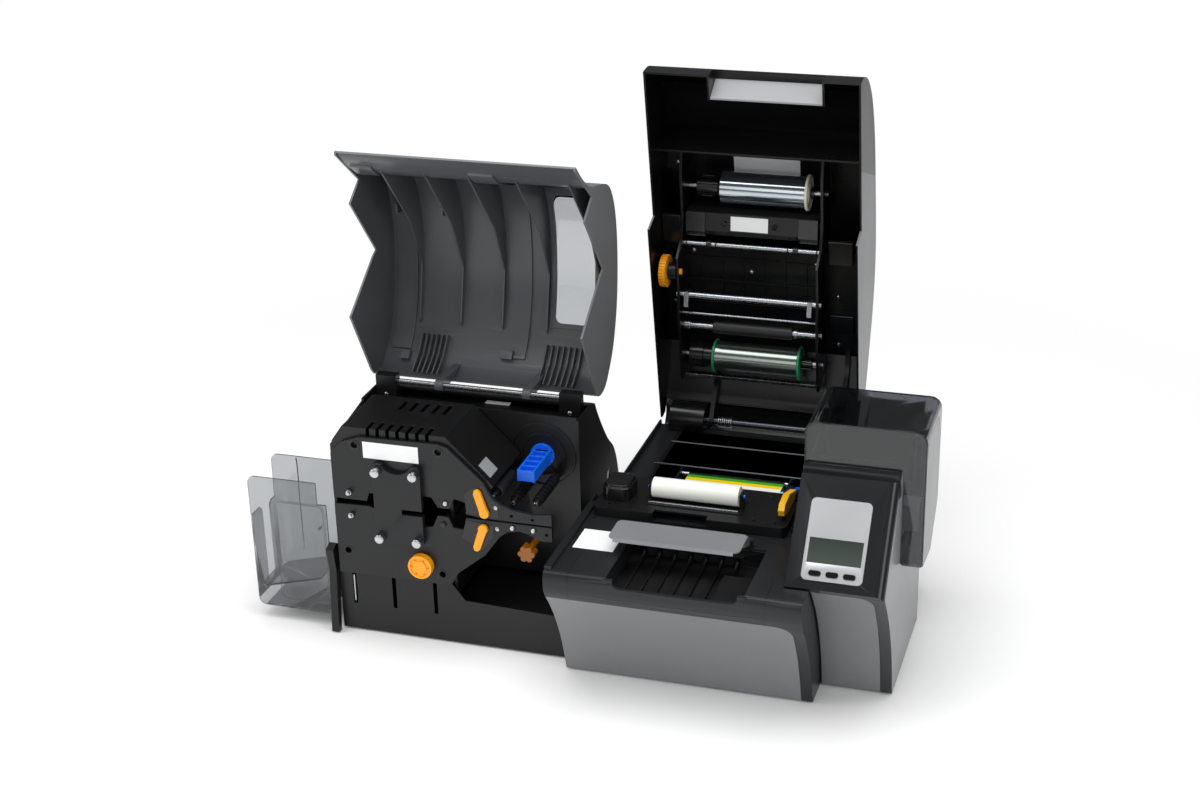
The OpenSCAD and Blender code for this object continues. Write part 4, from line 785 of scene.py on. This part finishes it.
# laminator: thumb screws with knurled heads
thumbScrews = {
    "spots": [(-267, 169), (-267, 273), (-210, 169), (-210, 273)], "sides": 40,
    "profile": [(6, 5.2), (6.5, 6.2), (7.2, 6.7), (16, 6.7), (17, 6), (17, 4), (26, 4)],
    "knurl": {"Count": 32, "Radius": 6.65, "Size": (0.5, 0.55, 7.5), "Turn": (math.pi / 2, 0, 0)},
    "knurlY": 12,
}


def screwBodies(work):
    for spot in thumbScrews["spots"]:
        addLathe(work, "y", spot, thumbScrews["profile"], sides=thumbScrews["sides"])


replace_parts(piece("thumb_screw_heads", "machine", "zincY", onBody, screwBodies), "thumb_screws")
for index, (x, z) in enumerate(thumbScrews["spots"]):
    grown("thumb_screw_knurl_%d" % (index + 1), "machine", "zincY", onBody, "ring",
          {**thumbScrews["knurl"], "Centre": (x, thumbScrews["knurlY"], z)})

# steel studs on the side plates and behind them, and a thin upright bar at the lower left
firstIdler = {
    "at": (-106, 238),
    "sleeve": [(64, 5), (64, 8.5), (65.2, 10), (120.8, 10), (122, 8.5), (122, 5)],
}
studs = {
    "long": {"spots": [(-315, 231), (-314, 195)],
             "profile": [(16, 2), (16.6, 2.8), (20, 3), (20.2, 3.9), (31, 3.9)]},
    "short": {"spots": [(-169, 230), (-70, 204), (-39, 204)],
              "profile": [(22, 2.4), (22.6, 3.2), (24, 3.9), (31, 3.9)]},
    "small": {"spots": [(-94, 232), (-93, 199)],
              "profile": [(24.4, 1.4), (24.9, 2.8), (25.4, 3.2), (26.05, 3.2)]},
    "rear": {"spots": [(-322, 312), (-36, 312)],
             "profile": [(188.4, 1.4), (188.9, 3), (189.4, 3.5), (190.05, 3.5)]},
    "inner": {"spots": [(-78, 229), (-44, 231)], "profile": [(52, 2.2), (52.6, 3), (58.1, 3)]},
    "idler": {"spots": [firstIdler["at"]], "profile": [(46, 2.4), (46.8, 3.4), (58.1, 3.4)]},
}
plateBar = {"low": (-323, 31.4, 50), "high": (-321.4, 33.2, 92)}


def plateStuds(work):
    for kind in studs.values():
        for spot in kind["spots"]:
            addLathe(work, "y", spot, kind["profile"], sides=smallSides)
    addBox(work, plateBar["low"], plateBar["high"])


piece("plate_studs", "machine", "zincY", onBody, plateStuds)

# black rings round four holes of the side plates: painted shade that makes their dark openings look larger
holeShade = {
    "spots": [(-303, 305), (-176, 308), (-325, 135), (-180, 115)],
    "profile": [(26.05, 4.9), (25.5, 5.2), (25.1, 5.9), (25.1, 6.7), (25.4, 7.4), (26.05, 7.4)],
}


def holeShadeRings(work):
    for spot in holeShade["spots"]:
        addTube(work, "y", spot, holeShade["profile"])


# painted shade: black rings that widen the dark look of the holes
piece("plate_hole_shade_rings", "machine", "blackRubber", onBody, holeShadeRings)

# dark guards lie under the two levers, flat on the side plates
leverGuards = {
    "y": (25.5, 26.02),
    "outlines": [
        [(-141, 247), (-130, 257), (-112, 266), (-100, 246), (-90, 236.5), (-90, 214.5), (-137, 219)],
        [(-139, 208), (-98, 203), (-100, 186), (-117, 164), (-147, 179)],
    ],
}


def guardPlates(work):
    for outline in leverGuards["outlines"]:
        addPrism(work, "y", *leverGuards["y"], outline)


piece("lever_guards", "machine", "blackGloss", onBody, guardPlates)

# blank stickers on the upper side plate, on the roof and on the heater housing
laminatorLabels = {
    "plate": ((-290, 25.6, 287), (-206, 26.0, 312)),
    "roof": ((-174, 208, 305.9), (-136, 218, 306.4)),
}
greyLabel = {"y": (42, 72), "outline": [(-123, 286.7), (-106, 269.7), (-105.6, 270.1), (-122.6, 287.1)]}


def plateLabels(work):
    for low, high in laminatorLabels.values():
        addBox(work, low, high)


def idlerSleeve(work):
    addLathe(work, "y", firstIdler["at"], firstIdler["sleeve"])


piece("laminator_labels", "machine", "label", onBody, plateLabels)
piece("idler_sleeve", "machine", "blackRubber", onBody, idlerSleeve)
piece("grey_label", "machine", "greyLabel", onBody,
      lambda work: addPrism(work, "y", *greyLabel["y"], greyLabel["outline"]))
print("laminator ready")


# printer deck: the cleaning roller and the two ribbon cores, each on a pin
pinRadius = 2.98
fineSides = 64
cleaner = {"at": (145, 233), "sleeve": (101.5, 227.5), "radius": 14.5, "edge": 0.7, "pin": (94, 235)}


def cleanerSleeve(work):
    addRod(work, "x", *cleaner["sleeve"], cleaner["at"], cleaner["radius"], edge=cleaner["edge"],
           sides=fineSides)


def cleanerPin(work):
    addRod(work, "x", *cleaner["pin"], cleaner["at"], pinRadius)


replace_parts(piece("cleaning_sleeve", "cleaning_roller", "whiteRubber", onBody, cleanerSleeve),
            "cleaning_roller")
piece("cleaning_pin", "cleaning_roller", "blue", onBody, cleanerPin)

ribbonCores = {
    "x": (107, 267), "supply": (240, 160), "takeup": (300, 158), "radius": 15, "pin": (101, 273),
    "disc": [(271.5, 17), (272.1, 19.4), (272.9, 20), (278.6, 20), (279.4, 19.4), (279.4, 16), (277, 15),
             (277, 6), (280, 5)],
}


def ribbonCore(which):
    return lambda work: addRod(work, "x", *ribbonCores["x"], ribbonCores[which], ribbonCores["radius"],
                               sides=fineSides)


def ribbonPin(which):
    return lambda work: addRod(work, "x", *ribbonCores["pin"], ribbonCores[which], pinRadius)


def ribbonDisc(work):
    addLathe(work, "x", ribbonCores["takeup"], ribbonCores["disc"])


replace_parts(piece("ribbon_supply_roll", "ribbon_supply", "ribbon", onBody,
                  ribbonCore("supply")), "ribbon_supply")
piece("ribbon_supply_pin", "ribbon_supply", "blackAbs", onBody, ribbonPin("supply"))
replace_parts(piece("ribbon_takeup_roll", "ribbon_takeup", "blueFilm", onBody,
                  ribbonCore("takeup")), "ribbon_takeup")
piece("ribbon_takeup_pin", "ribbon_takeup", "blackAbs", onBody, ribbonPin("takeup"))
piece("ribbon_takeup_disc", "ribbon_takeup", "blue", onBody, ribbonDisc)

# a blank sticker on the deck, a bar in front of the cleaning roller, and dark screws
deckLabel = {"low": (26, 0, 199.9), "high": (84, 57, 200.25)}
deckBar = {"low": (99, 124.4, 216.3), "high": (229, 127.6, 219.6), "edge": 0.5}
deckScrews = {
    "profile": [(1.2, 1.2), (1, 2.2), (0.5, 2.7), (-0.05, 2.7)],
    "spots": [(252, 118, 215), (292, 128, 215), (262, 190, 215), (30, 92, 200), (300, 96, 200),
              (44, 216, 200)],
}
piece("deck_label", "machine", "label", onBody,
      lambda work: addBox(work, deckLabel["low"], deckLabel["high"]))
piece("deck_bar", "machine", "zinc", onBody,
      lambda work: addBox(work, deckBar["low"], deckBar["high"]), radius=deckBar["edge"])
piece("deck_screws", "machine", "blackGloss", onBody,
      lambda work: addScrews(work, deckScrews))

# guide rods inside the well
wellRods = {"x": (46, 316), "low": [(336, 176), (438, 166)], "radius": 2}


def wellRodBodies(work):
    for spot in wellRods["low"]:
        addRod(work, "x", *wellRods["x"], spot, wellRods["radius"])


piece("well_rods", "machine", "darkSteel", onBody, wellRodBodies)

# the bezel is split at both sides of the card exit: a fine dark joint runs down over its front
bezelJoint = {"x": (43, 314), "width": 0.8,
              "outline": [(-20, 200.1), (-70.05, 200.12), (-75.1, 198.1), (-78.12, 192.05), (-78.12, 178),
                          (-77.12, 170), (-70.1, 158.6), (-69.6, 159), (-76.6, 170.2), (-77.6, 178),
                          (-77.6, 191.9), (-74.8, 197.7), (-69.9, 199.6), (-20, 199.6)]}


def bezelJoints(work):
    for x in bezelJoint["x"]:
        addPrism(work, "x", x, x + bezelJoint["width"], bezelJoint["outline"])


piece("bezel_joints", "machine", "lidBlack", onBody, bezelJoints)

# a dark strip runs round the front edge of the feeder cover and down its right leg: painted shade for the
# dark look of the clear sheet's edges
coverEdge = {"x": (331, 495), "z": (328.5, 389), "legZ": 196, "round": 16, "inset": 1.0, "width": 0.9,
             "y": (79.95, 80.5), "steps": 6}


def coverRail(inset):
    left, right = coverEdge["x"][0] + inset, coverEdge["x"][1] - inset
    low, high = coverEdge["z"][0], coverEdge["z"][1] - inset
    radius = coverEdge["round"] - inset
    turns = [math.pi * k / 2 / coverEdge["steps"] for k in range(coverEdge["steps"] + 1)]
    rail = [(left, low)]
    rail += [(left + radius - radius * math.cos(a), high - radius + radius * math.sin(a)) for a in turns]
    rail += [(right - radius + radius * math.sin(a), high - radius + radius * math.cos(a)) for a in turns]
    return rail + [(right, coverEdge["legZ"])]


def coverEdgeShade(work):
    outer, inner = coverRail(coverEdge["inset"]), coverRail(coverEdge["inset"] + coverEdge["width"])
    addPrism(work, "y", *coverEdge["y"], outer + inner[::-1])


# painted shade along the edges of the clear cover
piece("cover_edge_shade", "feeder_cover", "lidBlack", onBody, coverEdgeShade)
print("deck ready")


# the camera stands in front, to the right and above: degrees for angles, metres for how far it sees,
# millimetres for its place, lens and sensor
camera = {"place": (820.53 - midX, -2309.32 - midY, 1486.0), "yaw": 17.96527, "pitch": 23.59867,
          "roll": 1.51662, "lens": 60.14, "sensor": 36, "sees": 50}


def makeCamera(spec):
    yaw, pitch, roll = (math.radians(spec[k]) for k in ("yaw", "pitch", "roll"))
    ahead = Vector((-math.sin(yaw) * math.cos(pitch), math.cos(yaw) * math.cos(pitch), -math.sin(pitch)))
    right = Vector((math.cos(yaw), math.sin(yaw), 0))
    down = ahead.cross(right)
    turnedRight = right * math.cos(roll) + down * math.sin(roll)
    turnedDown = down * math.cos(roll) - right * math.sin(roll)
    axes = Matrix((turnedRight, -turnedDown, -ahead)).transposed().to_4x4()
    data = bpy.data.cameras.new("studioCamera")
    data.lens = spec["lens"]
    data.sensor_width = spec["sensor"]
    data.clip_end = spec["sees"]
    shape = bpy.data.objects.new("studioCamera", data)
    bpy.context.scene.collection.objects.link(shape)
    shape.matrix_world = Matrix.Translation(Vector(spec["place"]) * mm) @ axes
    bpy.context.scene.camera = shape


# the floor and the lights are in metres and watts, but the floor's patches are in millimetres
floor = {"half": 9, "cells": 8, "patch": 333.3, "rough": (0.55, 0.65), "fade": (0.55, 1.5),
         "tone": "#fbfbfb", "sheen": 0.1}


def makeFloor(spec):
    # white paper: it takes shadows near the part, and glows white to the camera further away
    work = bmesh.new()
    bmesh.ops.create_grid(work, x_segments=spec["cells"], y_segments=spec["cells"], size=spec["half"])
    mesh = bpy.data.meshes.new("studioFloor")
    work.to_mesh(mesh)
    work.free()
    material, tree, shader = newMaterial("white studio paper")
    coords = addNode(tree, "ShaderNodeTexCoord").outputs["Object"]
    noise = addNode(tree, "ShaderNodeTexNoise", {"Vector": coords, "Scale": metre / spec["patch"]})
    smooth, dull = spec["rough"]
    gloss = addNode(tree, "ShaderNodeMapRange", {
        "Value": noise.outputs["Fac"], "To Min": smooth, "To Max": dull})
    tree.links.new(gloss.outputs["Result"], shader.inputs["Roughness"])
    away = addNode(tree, "ShaderNodeVectorMath", {0: coords}, operation="LENGTH")
    near, far = spec["fade"]
    fade = addNode(tree, "ShaderNodeMapRange", {
        "Value": away.outputs["Value"], "From Min": near, "From Max": far})
    seen = addNode(tree, "ShaderNodeLightPath")
    glow = addNode(tree, "ShaderNodeMath", {0: fade.outputs["Result"], 1: seen.outputs["Is Camera Ray"]},
                   operation="MULTIPLY")
    tone = addNode(tree, "ShaderNodeMix", {
        "Factor": glow.outputs["Value"], 6: toLinear(spec["tone"]), 7: (0, 0, 0, 1)}, data_type="RGBA")
    tree.links.new(tone.outputs[2], shader.inputs["Base Color"])
    tree.links.new(glow.outputs["Value"], shader.inputs["Emission Strength"])
    shader.inputs["Emission Color"].default_value = (1, 1, 1, 1)
    shader.inputs["Specular IOR Level"].default_value = spec["sheen"]
    mesh.materials.append(material)
    shape = bpy.data.objects.new("studioFloor", mesh)
    bpy.context.scene.collection.objects.link(shape)


lights = {
    "overhead": {"at": (0.1, -0.2, 2.6), "aim": (0, 0, 0.2), "size": (2.6, 2.0), "watts": 52},
    "left": {"at": (-2.4, -1.5, 1.6), "aim": (0, 0, 0.3), "size": (1.4, 2.0), "watts": 26},
    "right": {"at": (2.5, -1.2, 1.5), "aim": (0.1, 0, 0.3), "size": (0.9, 2.0), "watts": 12},
    "front": {"at": (0.4, -3.0, 1.4), "aim": (0, 0, 0.3), "size": (2.4, 1.2), "watts": 13},
}


def makeLight(name, spec):
    data = bpy.data.lights.new(name, "AREA")
    data.shape = "RECTANGLE"
    data.size, data.size_y = spec["size"]
    data.energy = spec["watts"]
    shape = bpy.data.objects.new(name, data)
    bpy.context.scene.collection.objects.link(shape)
    shape.location = spec["at"]
    shape.rotation_euler = (Vector(spec["aim"]) - Vector(spec["at"])).to_track_quat("-Z", "Y").to_euler()


# reflections see a dark studio, so black mouldings stay black; the camera sees plain white
surround = {"diffuse": 0.5, "glossy": 0.1, "camera": 1.0}


def makeWorld(spec):
    world = bpy.data.worlds.new("studio")
    world.use_nodes = True
    tree = world.node_tree
    seen = addNode(tree, "ShaderNodeLightPath")
    fill = addNode(tree, "ShaderNodeMapRange", {
        "Value": seen.outputs["Is Glossy Ray"], "To Min": spec["diffuse"], "To Max": spec["glossy"]})
    power = addNode(tree, "ShaderNodeMix", {
        "Factor": seen.outputs["Is Camera Ray"], 2: fill.outputs["Result"], 3: spec["camera"]})
    sky = tree.nodes["Background"]
    sky.inputs["Color"].default_value = (1, 1, 1, 1)
    tree.links.new(power.outputs[0], sky.inputs["Strength"])
    bpy.context.scene.world = world
    bpy.context.scene.view_settings.view_transform = "Standard"


makeCamera(camera)
makeFloor(floor)
for name, spec in lights.items():
    makeLight(name, spec)
makeWorld(surround)
print("studio ready")
